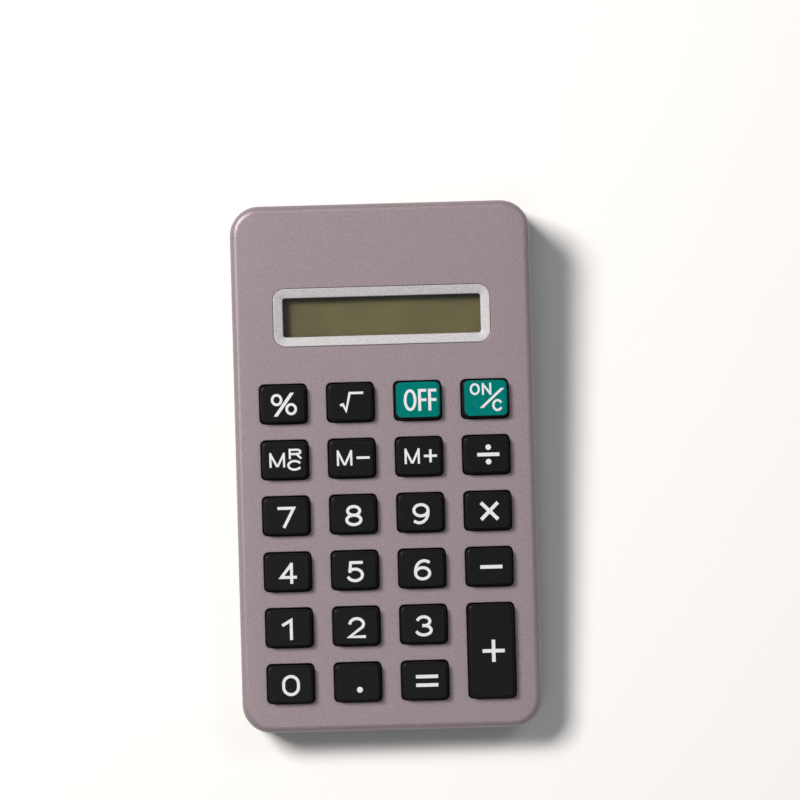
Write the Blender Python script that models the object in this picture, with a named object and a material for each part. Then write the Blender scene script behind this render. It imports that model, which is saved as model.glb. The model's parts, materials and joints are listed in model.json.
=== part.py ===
"""Eight-digit pocket calculator, lying on its feet with its display end raised.

Run with: blender --background --python part.py

Every piece is laid out in the case frame: x to the right, y up the face towards the display,
z out of the front face, with z = 0 on that face. The wedge-shaped case rests on its back, so the
empty case_frame turns that frame by REST_ANGLE and lifts it onto the feet. The battery door and
the feet lie along the back, so they are laid out in world axes.
"""

import math

import bmesh
import bpy
from mathutils import Matrix, Vector

MM = 0.001

# ------------------------------------------------------------------ driving sizes
# Keys: a grid of rubber keys, the last one two rows tall.
COLUMNS = 4
ROWS = 6
KEY_PITCH_X = 15.0 * MM
KEY_PITCH_Y = 12.5 * MM
KEY_WIDTH = 10.4 * MM
KEY_LENGTH = 8.6 * MM
KEY_CORNER = 1.0 * MM
KEY_HEIGHT = 2.1 * MM  # top of a key above the front face
KEY_DRAFT = 0.16 * MM  # each side leans in by this much between hole and top
KEY_EDGE = 0.45 * MM
KEY_TRAVEL = 1.0 * MM
KEY_HOLE_GAP = 0.18 * MM
SKIRT_FLARE = 0.55 * MM  # how far the skirt under the face stands out past the key
SKIRT_WALL = 0.5 * MM
PILL_WIDTH = 5.6 * MM
PILL_LENGTH = 4.2 * MM
PILL_CORNER = 1.0 * MM

# Case
SIDE_MARGIN = 5.8 * MM  # outer side of the case to the outer key
LOWER_MARGIN = 6.7 * MM  # lower end of the case to the lowest key
WINDOW_MARGIN = 8.525 * MM  # top key to the display bezel
CASE_CORNER = 6.5 * MM
WALL = 1.8 * MM
FRONT_EDGE = 1.6 * MM
REAR_EDGE = 2.4 * MM
FRONT_SHELL_DEPTH = 8.6 * MM  # front face to the parting line
LOWER_DEPTH = 11.5 * MM  # thickness of the case at its lower end
REVEAL = 0.3 * MM  # open line between the two shells
LIP_HEIGHT = 1.3 * MM
LIP_WALL = 0.9 * MM
LIP_ROOT = 0.9 * MM  # how far the lip's foot goes down the inside of the rear shell
LEAST_CORNER = 0.5 * MM

# Display
WINDOW_WIDTH = 44.2 * MM
WINDOW_LENGTH = 8.7 * MM
WINDOW_CORNER = 0.75 * MM
BEZEL_BAR = 2.05 * MM
BEZEL_CORNER = 2.7 * MM
BEZEL_PROUD = 0.12 * MM  # outer edge above the front face
BEZEL_DISH = 0.3 * MM  # inner edge below the outer one
BEZEL_EDGE = 0.2 * MM
BEZEL_SPIGOT = 0.9 * MM  # wall of the collar that goes through the front face
REBATE_DEPTH = 0.9 * MM  # step in the front face that the bezel lies in
LENS_THICKNESS = 1.0 * MM
GLASS_THICKNESS = 0.8 * MM
REFLECTOR_THICKNESS = 0.2 * MM
GLASS_BORDER_X = 2.9 * MM  # glass past the window, left and right
GLASS_BORDER_TOP = 1.5 * MM
GLASS_LEDGE = 3.2 * MM  # glass past the window, at the contact ledge
LEDGE_LENGTH = 2.7 * MM  # how much shorter the rear glass is
HOLDER_WALL = 1.2 * MM
HOLDER_TOP_WALL = 0.8 * MM
ZEBRA_WIDTH = 1.8 * MM

# Board and mat
BOARD_THICKNESS = 1.2 * MM
BOARD_SIDE_GAP = 0.9 * MM
BOARD_LAP = 2.0 * MM  # board past the display's contact ledge
MAT_THICKNESS = 1.4 * MM
MAT_SIDE_GAP = 1.5 * MM
MAT_CORNER = 2.0 * MM
END_MARGIN = 1.0 * MM  # mat and board past the skirts of the end rows
CHIP_RADIUS = 4.6 * MM
CHIP_HEIGHT = 1.5 * MM
CAPACITOR_RADIUS = 2.0 * MM
CAPACITOR_LENGTH = 5.4 * MM
RESISTOR_RADIUS = 0.85 * MM
RESISTOR_LENGTH = 3.4 * MM

# Battery: one AA cell across the display end
CELL_RADIUS = 7.1 * MM
CELL_LENGTH = 48.8 * MM
CELL_EDGE = 0.6 * MM
NUB_RADIUS = 2.6 * MM
NUB_LENGTH = 1.4 * MM
CELL_GAP = 0.5 * MM
BAY_WALL = 1.0 * MM
SPRING_LENGTH = 4.2 * MM
SPRING_RADIUS = 3.6 * MM
SPRING_END_RADIUS = 2.2 * MM
SPRING_WIRE = 0.3 * MM
SPRING_TURNS = 3.5
SPRING_STEPS = 12  # facets in each turn
PLATE_THICKNESS = 0.3 * MM
PLATE_LENGTH = 10.0 * MM
TAIL_LENGTH = 3.0 * MM
TAIL_WIDTH = 2.4 * MM
TAIL_LAP = 1.0 * MM  # how far the tail runs into its plate
LEAD_RADIUS = 0.5 * MM
LEAD_INSET = 2.5 * MM  # edge of the board to where a lead ends
LEAD_STEPS = 10

# Battery door
DOOR_THICKNESS = 1.8 * MM
DOOR_SIDE_LEDGE = 1.4 * MM  # how far the door stops short of the bay's side walls
TONGUE_WIDTH = 1.1 * MM
TONGUE_THICKNESS = 0.9 * MM
RAIL_THICKNESS = 1.0 * MM
RAIL_REACH = 0.8 * MM  # how far a rail stands into the bay
DOOR_LEDGE = 1.5 * MM  # floor left between the bay's wall and the door
FRONT_TONGUE_WIDTH = 30.0 * MM
GRIP_GROOVES = 5
GRIP_PITCH = 1.5 * MM
GRIP_WIDTH = 16.0 * MM
GRIP_DEPTH = 0.4 * MM

# Fasteners and feet
CASE_SCREW_RADIUS = 0.95 * MM
CASE_SCREW_LENGTH = 5.6 * MM
CASE_HEAD_RADIUS = 1.75 * MM
CASE_HEAD_HEIGHT = 1.1 * MM
CASE_BOSS_RADIUS = 2.1 * MM
CASE_SHELF = 1.5 * MM
CASE_SCREW_INSET = 4.5 * MM  # lower end of the case to the lower screws
BOARD_SCREW_RADIUS = 0.7 * MM
BOARD_SCREW_LENGTH = 3.6 * MM
BOARD_HEAD_RADIUS = 1.45 * MM
BOARD_HEAD_HEIGHT = 0.9 * MM
BOARD_BOSS_RADIUS = 1.5 * MM
SCREW_GAP = 0.12 * MM
HEAD_FLAT = 0.75  # flat middle of a screw's head, as a share of the head's radius
HEAD_RIM = 0.6  # height of its rim, as a share of the head's height
SCREW_TIP = 0.3  # radius of a screw's tip, as a share of the shank's
FOOT_RADIUS = 3.0 * MM
FOOT_HEIGHT = 0.6 * MM  # how far a foot stands out of the back
FOOT_SEAT = 0.5 * MM
FOOT_INSET_X = 8.0 * MM
FOOT_INSET_Y = 11.5 * MM

# Clearances
GAP = 0.3 * MM
SEAT_GAP = 0.15 * MM  # between pieces that lie on each other
STOP_GAP = 0.1 * MM  # left under a key that is pressed home
CUT_REACH = 5.0 * MM  # how far a cutter runs past what it cuts

# Facets
CORNER_SEGMENTS = 5
KEY_CORNER_SEGMENTS = 2
CASE_CORNER_SEGMENTS = 9
EDGE_SEGMENTS = 5
KEY_EDGE_SEGMENTS = 2
ROUND_SEGMENTS = 12
SCREW_SEGMENTS = 10
CELL_SEGMENTS = 24
GLOB_RINGS = 4

# ------------------------------------------------------------------ sizes that follow
CASE_WIDTH = (COLUMNS - 1) * KEY_PITCH_X + KEY_WIDTH + 2 * SIDE_MARGIN
BEZEL_WIDTH = WINDOW_WIDTH + 2 * BEZEL_BAR
BEZEL_LENGTH = WINDOW_LENGTH + 2 * BEZEL_BAR

# Heights in the case frame, from the front face inwards.
FACE_INSIDE = -WALL
LENS_TOP = FACE_INSIDE - SEAT_GAP
LENS_BOTTOM = LENS_TOP - LENS_THICKNESS
FRONT_GLASS_TOP = LENS_BOTTOM - SEAT_GAP
FRONT_GLASS_BOTTOM = FRONT_GLASS_TOP - GLASS_THICKNESS
REAR_GLASS_TOP = FRONT_GLASS_BOTTOM - SEAT_GAP
REAR_GLASS_BOTTOM = REAR_GLASS_TOP - GLASS_THICKNESS
REFLECTOR_TOP = REAR_GLASS_BOTTOM - SEAT_GAP
REFLECTOR_BOTTOM = REFLECTOR_TOP - REFLECTOR_THICKNESS
BOARD_TOP = REFLECTOR_BOTTOM - GAP
BOARD_BOTTOM = BOARD_TOP - BOARD_THICKNESS
MAT_BOTTOM = BOARD_TOP + SEAT_GAP
MAT_TOP = MAT_BOTTOM + MAT_THICKNESS
PILL_BOTTOM = BOARD_TOP + KEY_TRAVEL + STOP_GAP
SKIRT_TOP = FACE_INSIDE - GAP
SKIRT_BOTTOM = PILL_BOTTOM + STOP_GAP
SKIRT_ROOF = SKIRT_TOP - SKIRT_WALL
PARTING = -FRONT_SHELL_DEPTH
REAR_RIM = PARTING - REVEAL
REAR_BOSS_TOP = REAR_RIM - SEAT_GAP
CASE_SHELF_BOTTOM = REAR_BOSS_TOP - CASE_SHELF

# Distances up the face, counted from the lower end of the case and centred at the end.
_lowest_key = LOWER_MARGIN + KEY_LENGTH / 2
_top_key_edge = LOWER_MARGIN + KEY_LENGTH + (ROWS - 1) * KEY_PITCH_Y
_window_centre = _top_key_edge + WINDOW_MARGIN + BEZEL_LENGTH / 2
_holder_top = (
    _window_centre + WINDOW_LENGTH / 2 + GLASS_BORDER_TOP + SEAT_GAP + HOLDER_TOP_WALL
)
_bay_low = _holder_top + GAP + BAY_WALL
_cell_centre = _bay_low + CELL_GAP + CELL_RADIUS
CASE_LENGTH = _cell_centre + CELL_RADIUS + CELL_GAP + WALL

LOWER_END = -CASE_LENGTH / 2
UPPER_END = CASE_LENGTH / 2
LOWEST_KEY_Y = LOWER_END + _lowest_key
WINDOW_Y = LOWER_END + _window_centre
HOLDER_TOP_Y = LOWER_END + _holder_top
BAY_LOW_Y = LOWER_END + _bay_low
CELL_Y = LOWER_END + _cell_centre
CELL_Z = FACE_INSIDE - CELL_GAP - CELL_RADIUS
BAY_HIGH_Y = UPPER_END - WALL

# The back leans, so that it clears the electronics at the lower end and the cell at the other.
CELL_DEPTH = -CELL_Z + CELL_RADIUS + CELL_GAP + DOOR_THICKNESS
BACK_SLOPE = (CELL_DEPTH - LOWER_DEPTH) / (CELL_Y - LOWER_END)
REST_ANGLE = math.atan(BACK_SLOPE)

CELL_LEFT = -(CELL_LENGTH + NUB_LENGTH + SPRING_LENGTH) / 2 + SPRING_LENGTH
CELL_RIGHT = CELL_LEFT + CELL_LENGTH
BAY_HALF = CELL_RIGHT + NUB_LENGTH + 2 * SEAT_GAP + 2 * PLATE_THICKNESS + GAP

DISPLAY_WIDTH = WINDOW_WIDTH + 2 * GLASS_BORDER_X
GLASS_LOW_Y = WINDOW_Y - WINDOW_LENGTH / 2 - GLASS_LEDGE
GLASS_HIGH_Y = WINDOW_Y + WINDOW_LENGTH / 2 + GLASS_BORDER_TOP
HOLDER_LOW_Y = GLASS_LOW_Y - SEAT_GAP - HOLDER_WALL
TOP_ROW_Y = LOWEST_KEY_Y + (ROWS - 1) * KEY_PITCH_Y
OUTER_COLUMN_X = (COLUMNS - 1) / 2 * KEY_PITCH_X
SKIRT_REACH = KEY_LENGTH / 2 + SKIRT_FLARE
BAND_Y = (TOP_ROW_Y + SKIRT_REACH + HOLDER_LOW_Y) / 2  # free strip between keys and display

KEY_NAMES = (
    ("percent", "root", "off", "on_clear"),
    ("memory_recall", "memory_minus", "memory_plus", "divide"),
    ("7", "8", "9", "multiply"),
    ("4", "5", "6", "minus"),
    ("1", "2", "3", "plus"),
    ("0", "point", "equals", None),  # the plus key takes both rows
)
GREEN_KEYS = ("off", "on_clear")
TALL_KEY = "plus"

CASE_SCREWS = (
    (-OUTER_COLUMN_X - KEY_WIDTH / 2 + CASE_BOSS_RADIUS + GAP, BAND_Y),
    (OUTER_COLUMN_X + KEY_WIDTH / 2 - CASE_BOSS_RADIUS - GAP, BAND_Y),
    (-KEY_PITCH_X, LOWER_END + CASE_SCREW_INSET),
    (KEY_PITCH_X, LOWER_END + CASE_SCREW_INSET),
)
BOARD_SCREWS = (
    (0.0, BAND_Y),
    (-KEY_PITCH_X, LOWEST_KEY_Y + 4.5 * KEY_PITCH_Y),
    (KEY_PITCH_X, LOWEST_KEY_Y + 4.5 * KEY_PITCH_Y),
    (-KEY_PITCH_X, LOWEST_KEY_Y + 1.5 * KEY_PITCH_Y),
    (KEY_PITCH_X, LOWEST_KEY_Y + 1.5 * KEY_PITCH_Y),
)


# ------------------------------------------------------------------ tools
def back(y, inset=0.0):
    """Height of the leaning back at y in the case frame, or of a surface that far inside it."""
    return -(LOWER_DEPTH + BACK_SLOPE * (y - LOWER_END)) + inset


def outline(width, length, radius, centre=(0.0, 0.0), segments=CORNER_SEGMENTS):
    """Points round a rounded rectangle, counter-clockwise."""
    points = []
    for corner, (side_x, side_y) in enumerate(((1, 1), (-1, 1), (-1, -1), (1, -1))):
        for step in range(segments + 1):
            angle = math.radians(90 * (corner + step / segments))
            points.append(
                (
                    centre[0] + side_x * (width / 2 - radius) + radius * math.cos(angle),
                    centre[1] + side_y * (length / 2 - radius) + radius * math.sin(angle),
                )
            )
    return points


def case_ring(inset, height):
    """The case's plan outline, drawn in by inset. height is a number, or a function of y."""
    corner = max(CASE_CORNER - inset, LEAST_CORNER)
    size = (CASE_WIDTH - 2 * inset, CASE_LENGTH - 2 * inset)
    points = outline(*size, corner, segments=CASE_CORNER_SEGMENTS)
    return [(x, y, height(y) if callable(height) else height) for x, y in points]


def ring(width, length, radius, height, centre=(0.0, 0.0), segments=CORNER_SEGMENTS):
    """A level rounded rectangle at a height."""
    return [(x, y, height) for x, y in outline(width, length, radius, centre, segments)]


def add_loft(shape, rings, closed=False):
    """Skins rings of equal point count. A closed loft joins its last ring to its first, like a frame."""
    loops = [[shape.verts.new(point) for point in points] for points in rings]
    pairs = list(zip(loops, loops[1:]))
    if closed:
        pairs.append((loops[-1], loops[0]))
    for one, other in pairs:
        for i in range(len(one)):
            shape.faces.new((one[i - 1], one[i], other[i], other[i - 1]))
    if not closed:
        for end in (loops[0], loops[-1]):
            shape.faces.new(end)


def add_turned(shape, profile, place=(0.0, 0.0, 0.0), segments=ROUND_SEGMENTS, axis="Z"):
    """A solid turned about an axis through place. profile holds (radius, height) pairs."""
    turn = Matrix.Rotation(math.radians(90), 4, "Y") if axis == "X" else Matrix()
    rings = []
    for radius, height in profile:
        angles = [2 * math.pi * step / segments for step in range(segments)]
        points = [Vector((radius * math.cos(a), radius * math.sin(a), height)) for a in angles]
        rings.append([Vector(place) + turn @ point for point in points])
    add_loft(shape, rings)


def add_cylinders(shape, centres, radius, low, high):
    """Equal cylinders along z, from low to high."""
    for centre in centres:
        add_turned(shape, ((radius, low), (radius, high)), (*centre, 0.0))


def add_block(shape, low, high, bottom=None):
    """A box between two corners. bottom, a function of y, gives it a leaning underside."""
    size = Vector(high) - Vector(low)
    middle = (Vector(high) + Vector(low)) / 2
    made = bmesh.ops.create_cube(
        shape, size=1.0, matrix=Matrix.Translation(middle) @ Matrix.Diagonal((*size, 1.0))
    )
    if bottom:
        for vert in made["verts"]:
            if vert.co.z < middle.z:
                vert.co.z = bottom(vert.co.y)


def material(name, colour, roughness, metallic=0.0, alpha=1.0):
    made = bpy.data.materials.get(name)
    if made:
        return made
    made = bpy.data.materials.new(name)
    made.use_nodes = True
    made.diffuse_color = (*colour, alpha)
    shader = made.node_tree.nodes["Principled BSDF"]
    shader.inputs["Base Color"].default_value = (*colour, 1.0)
    shader.inputs["Roughness"].default_value = roughness
    shader.inputs["Metallic"].default_value = metallic
    shader.inputs["Alpha"].default_value = alpha
    return made


def finish(name, shape, finish_material=None, parent=None, smooth=True):
    """Turns a bmesh into an object under parent. With no material it is a hidden cutter or guide."""
    bmesh.ops.recalc_face_normals(shape, faces=shape.faces)
    if shape.calc_volume(signed=True) < 0:
        bmesh.ops.reverse_faces(shape, faces=shape.faces)
    mesh = bpy.data.meshes.new(name)
    shape.to_mesh(mesh)
    shape.free()
    made = bpy.data.objects.new(name, mesh)
    bpy.context.scene.collection.objects.link(made)
    made.parent = parent
    if finish_material:
        mesh.materials.append(finish_material)
        if smooth:
            mesh.shade_smooth()
            mesh.set_sharp_from_angle(angle=math.radians(35))
    else:
        made.hide_render = True
        made.display_type = "WIRE"
    return made


def combine(target, other, operation):
    step = target.modifiers.new(f"{operation.lower()} {other.name}", "BOOLEAN")
    step.operation = operation
    step.object = other
    step.solver = "EXACT"
    step.use_self = True


def cutter(name, add, parent):
    shape = bmesh.new()
    add(shape)
    return finish(name, shape, parent=parent)


# ------------------------------------------------------------------ frames
def front_body_rings(inset=0.0):
    rings = []
    for step in range(EDGE_SEGMENTS + 1):
        angle = math.radians(90 * step / EDGE_SEGMENTS)
        edge = FRONT_EDGE * (1 - math.sin(angle))
        rings.append(case_ring(inset + edge, -FRONT_EDGE * (1 - math.cos(angle))))
    rings.append(case_ring(inset, PARTING))
    return rings


def rear_body_rings():
    rings = [case_ring(0.0, REAR_RIM)]
    for step in range(EDGE_SEGMENTS + 1):
        angle = math.radians(90 * step / EDGE_SEGMENTS)
        rise = REAR_EDGE * (1 - math.sin(angle))
        rings.append(
            case_ring(REAR_EDGE * (1 - math.cos(angle)), lambda y, rise=rise: back(y, rise))
        )
    return rings


def make_case_frame():
    """The empty that turns the case frame so that the back lies level, one foot's height up."""
    turn = Matrix.Rotation(REST_ANGLE, 4, "X")
    corners = [turn @ Vector(p) for r in front_body_rings() + rear_body_rings() for p in r]
    reach = [c.y for c in corners]
    lowest = (turn @ Vector((0.0, LOWER_END, back(LOWER_END)))).z
    frame = bpy.data.objects.new("case_frame", None)
    bpy.context.scene.collection.objects.link(frame)
    frame.rotation_euler = (REST_ANGLE, 0.0, 0.0)
    frame.location = (0.0, -(max(reach) + min(reach)) / 2, FOOT_HEIGHT - lowest)
    return frame


for leftover in list(bpy.data.objects):
    bpy.data.objects.remove(leftover)

CASE = make_case_frame()
CASE_MATRIX = Matrix.Translation(CASE.location) @ Matrix.Rotation(REST_ANGLE, 4, "X")
BACK_Z = FOOT_HEIGHT  # height of the level back in world axes


def to_world(x, y, z):
    return CASE_MATRIX @ Vector((x, y, z))


# ------------------------------------------------------------------ finishes
SILVER = material("silver_painted_abs", (0.36, 0.32, 0.33), 0.45, 0.35)
BEZEL_SILVER = material("bright_silver_abs", (0.66, 0.65, 0.68), 0.3, 0.5)
REAR_GREY = material("grey_moulded_abs", (0.2, 0.19, 0.2), 0.55)
CLEAR = material("clear_acrylic", (0.85, 0.9, 0.85), 0.05, alpha=0.3)
GLASS = material("display_glass", (0.15, 0.16, 0.08), 0.08, alpha=0.6)
REFLECTOR = material("reflector_foil", (0.14, 0.14, 0.07), 0.4, 0.3)
WHITE_ABS = material("natural_abs", (0.75, 0.75, 0.7), 0.5)
BLACK_RUBBER = material("black_silicone", (0.012, 0.012, 0.014), 0.6)
GREEN_RUBBER = material("green_silicone", (0.0, 0.21, 0.16), 0.5)
CONDUCTIVE = material("conductive_rubber", (0.02, 0.02, 0.02), 0.7)
BOARD_GREEN = material("phenolic_board", (0.32, 0.2, 0.07), 0.6)
EPOXY = material("black_epoxy", (0.01, 0.01, 0.01), 0.3)
STEEL = material("plated_steel", (0.6, 0.6, 0.58), 0.3, 1.0)
CELL_WRAP = material("cell_jacket", (0.02, 0.1, 0.05), 0.35)
RED_PVC = material("red_pvc", (0.5, 0.01, 0.01), 0.4)
BLACK_PVC = material("black_pvc", (0.01, 0.01, 0.01), 0.4)


# ------------------------------------------------------------------ keys
def key_places():
    """(name, column x, centre y, extra length) of each key, in the case frame."""
    places = []
    for row, names in enumerate(KEY_NAMES):
        for column, name in enumerate(names):
            if name is None:
                continue
            x = (column - (COLUMNS - 1) / 2) * KEY_PITCH_X
            y = TOP_ROW_Y - row * KEY_PITCH_Y
            extra = 0.0
            if name == TALL_KEY:
                extra = KEY_PITCH_Y
                y -= extra / 2
            places.append((name, x, y, extra))
    return places


def key_ring(grow, height, extra):
    """A level outline of a key, grown by grow on every side from its size at the hole."""
    size = (KEY_WIDTH + 2 * grow, KEY_LENGTH + extra + 2 * grow)
    return ring(*size, KEY_CORNER + grow, height, segments=KEY_CORNER_SEGMENTS)


def make_key(name, x, y, extra):
    """One key: cap, retaining skirt under the face, and the pill that closes the contact."""
    cap = []
    for step in range(KEY_EDGE_SEGMENTS + 1):
        angle = math.radians(90 * step / KEY_EDGE_SEGMENTS)
        grow = -KEY_DRAFT - KEY_EDGE * (1 - math.sin(angle))
        cap.append(key_ring(grow, KEY_HEIGHT - KEY_EDGE * (1 - math.cos(angle)), extra))
    cap.append(key_ring(0.0, SKIRT_TOP, extra))
    inside = SKIRT_FLARE - SKIRT_WALL
    skirt = [
        key_ring(SKIRT_FLARE, SKIRT_TOP, extra),
        key_ring(SKIRT_FLARE, SKIRT_BOTTOM, extra),
        key_ring(inside, SKIRT_BOTTOM, extra),
        key_ring(inside, SKIRT_ROOF, extra),
    ]
    pill_size = (PILL_WIDTH, PILL_LENGTH + extra, PILL_CORNER)
    pill = [ring(*pill_size, z, segments=KEY_CORNER_SEGMENTS) for z in (SKIRT_ROOF, PILL_BOTTOM)]
    shape = bmesh.new()
    add_loft(shape, cap + skirt + pill)
    colour = GREEN_RUBBER if name in GREEN_KEYS else BLACK_RUBBER
    key = finish(f"key_{name}", shape, colour, CASE)
    key.location = (x, y, 0.0)


def add_key_openings(shape, grow, low, high, segments):
    """A prism through every key's place, grown from the key's outline."""
    for _, x, y, extra in key_places():
        size = (KEY_WIDTH + 2 * grow, KEY_LENGTH + extra + 2 * grow, KEY_CORNER + grow)
        add_loft(shape, [ring(*size, z, (x, y), segments) for z in (high, low)])


def make_mat():
    """The silicone sheet round the keys, lying on the board."""
    half = CASE_WIDTH / 2 - WALL - MAT_SIDE_GAP
    low = LOWEST_KEY_Y - SKIRT_REACH - GAP - END_MARGIN
    high = TOP_ROW_Y + SKIRT_REACH + GAP + END_MARGIN
    shape = bmesh.new()
    centre = (0.0, (low + high) / 2)
    add_loft(
        shape,
        [ring(2 * half, high - low, MAT_CORNER, z, centre) for z in (MAT_TOP, MAT_BOTTOM)],
    )
    mat = finish("keypad_mat", shape, BLACK_RUBBER, CASE)

    def openings(cut):
        low, high = MAT_BOTTOM - GAP, MAT_TOP + GAP
        add_key_openings(cut, SKIRT_FLARE + GAP, low, high, KEY_CORNER_SEGMENTS)
        add_cylinders(cut, BOARD_SCREWS, BOARD_BOSS_RADIUS + GAP, low, high)
        add_cylinders(cut, CASE_SCREWS, CASE_BOSS_RADIUS + GAP, low, high)

    combine(mat, cutter("mat_openings", openings, CASE), "DIFFERENCE")


# ------------------------------------------------------------------ front shell
def make_front_shell():
    shape = bmesh.new()
    inside = [case_ring(WALL, z) for z in (PARTING, FACE_INSIDE)]
    add_loft(shape, front_body_rings() + inside)
    shell = finish("front_shell", shape, SILVER, CASE)

    def bosses(add):
        buried = FACE_INSIDE + WALL / 3
        add_cylinders(add, BOARD_SCREWS, BOARD_BOSS_RADIUS, BOARD_TOP + SEAT_GAP, buried)
        add_cylinders(add, CASE_SCREWS, CASE_BOSS_RADIUS, PARTING, buried)

    def openings(cut):
        add_key_openings(cut, KEY_HOLE_GAP, FACE_INSIDE - GAP, GAP, CORNER_SEGMENTS)
        collar = BEZEL_SPIGOT + SEAT_GAP
        through = (WINDOW_WIDTH + 2 * collar, WINDOW_LENGTH + 2 * collar, WINDOW_CORNER + collar)
        rebate = (BEZEL_WIDTH + 2 * SEAT_GAP, BEZEL_LENGTH + 2 * SEAT_GAP, BEZEL_CORNER + SEAT_GAP)
        steps = (
            (rebate, GAP),
            (rebate, -REBATE_DEPTH),
            (through, -REBATE_DEPTH),
            (through, FACE_INSIDE - GAP),
        )
        add_loft(cut, [ring(*size, z, (0.0, WINDOW_Y)) for size, z in steps])
        tip = BOARD_BOTTOM + BOARD_SCREW_LENGTH + GAP
        add_cylinders(cut, BOARD_SCREWS, BOARD_SCREW_RADIUS + SCREW_GAP, BOARD_TOP, tip)
        tip = CASE_SHELF_BOTTOM + CASE_SCREW_LENGTH + GAP
        add_cylinders(cut, CASE_SCREWS, CASE_SCREW_RADIUS + SCREW_GAP, PARTING - GAP, tip)

    combine(shell, cutter("front_bosses", bosses, CASE), "UNION")
    combine(shell, cutter("front_openings", openings, CASE), "DIFFERENCE")


# ------------------------------------------------------------------ rear shell and door
DOOR_HALF = BAY_HALF - DOOR_SIDE_LEDGE
DOOR_LOW = to_world(0.0, BAY_LOW_Y + DOOR_LEDGE, back(BAY_LOW_Y, WALL)).y
DOOR_HIGH = to_world(0.0, UPPER_END, back(UPPER_END)).y + CUT_REACH
DOOR_TOP = BACK_Z + DOOR_THICKNESS
TONGUE_BOTTOM = DOOR_TOP - TONGUE_THICKNESS
RAIL_BOTTOM = DOOR_TOP + SEAT_GAP


def add_door_plate(shape, gap):
    """The door's plate with a tongue along each side, grown by gap where it slides."""
    half = DOOR_HALF + gap
    low = DOOR_LOW - gap
    side = half + TONGUE_WIDTH
    bottom = BACK_Z - CUT_REACH
    profile = (
        (-half, bottom),
        (half, bottom),
        (half, TONGUE_BOTTOM - gap),
        (side, TONGUE_BOTTOM - gap),
        (side, DOOR_TOP + gap),
        (-side, DOOR_TOP + gap),
        (-side, TONGUE_BOTTOM - gap),
        (-half, TONGUE_BOTTOM - gap),
    )
    ends = [[(x, y, z) for x, z in profile] for y in (low, DOOR_HIGH)]
    add_loft(shape, ends)


def add_front_tongue(shape, gap):
    """The tongue at the door's inner end, which goes over a ledge of the rear shell."""
    half = FRONT_TONGUE_WIDTH / 2 + gap
    low = (-half, DOOR_LOW - TONGUE_WIDTH - gap, TONGUE_BOTTOM - gap)
    add_block(shape, low, (half, DOOR_LOW + TONGUE_WIDTH, DOOR_TOP + gap))


def make_battery_door():
    shape = bmesh.new()
    add_door_plate(shape, 0.0)
    door = finish("battery_door", shape, REAR_GREY)

    def tongue(add):
        add_front_tongue(add, 0.0)

    def grooves(cut):
        middle = (DOOR_LOW + to_world(0.0, UPPER_END - REAR_EDGE, back(UPPER_END)).y) / 2
        for step in range(GRIP_GROOVES):
            y = middle + (step - (GRIP_GROOVES - 1) / 2) * GRIP_PITCH
            add_block(
                cut,
                (-GRIP_WIDTH / 2, y - GRIP_PITCH / 4, BACK_Z - GAP),
                (GRIP_WIDTH / 2, y + GRIP_PITCH / 4, BACK_Z + GRIP_DEPTH),
            )

    def blank(add):
        add_loft(add, rear_body_rings())

    combine(door, cutter("rear_blank", blank, CASE), "INTERSECT")
    combine(door, cutter("door_tongue", tongue, None), "UNION")
    combine(door, cutter("door_grooves", grooves, None), "DIFFERENCE")


def foot_places():
    ends = (
        to_world(0.0, LOWER_END + FOOT_INSET_Y, back(LOWER_END)).y,
        DOOR_LOW - FOOT_INSET_Y,
    )
    half = CASE_WIDTH / 2 - FOOT_INSET_X
    return [(x, y) for y in ends for x in (-half, half)]


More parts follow.
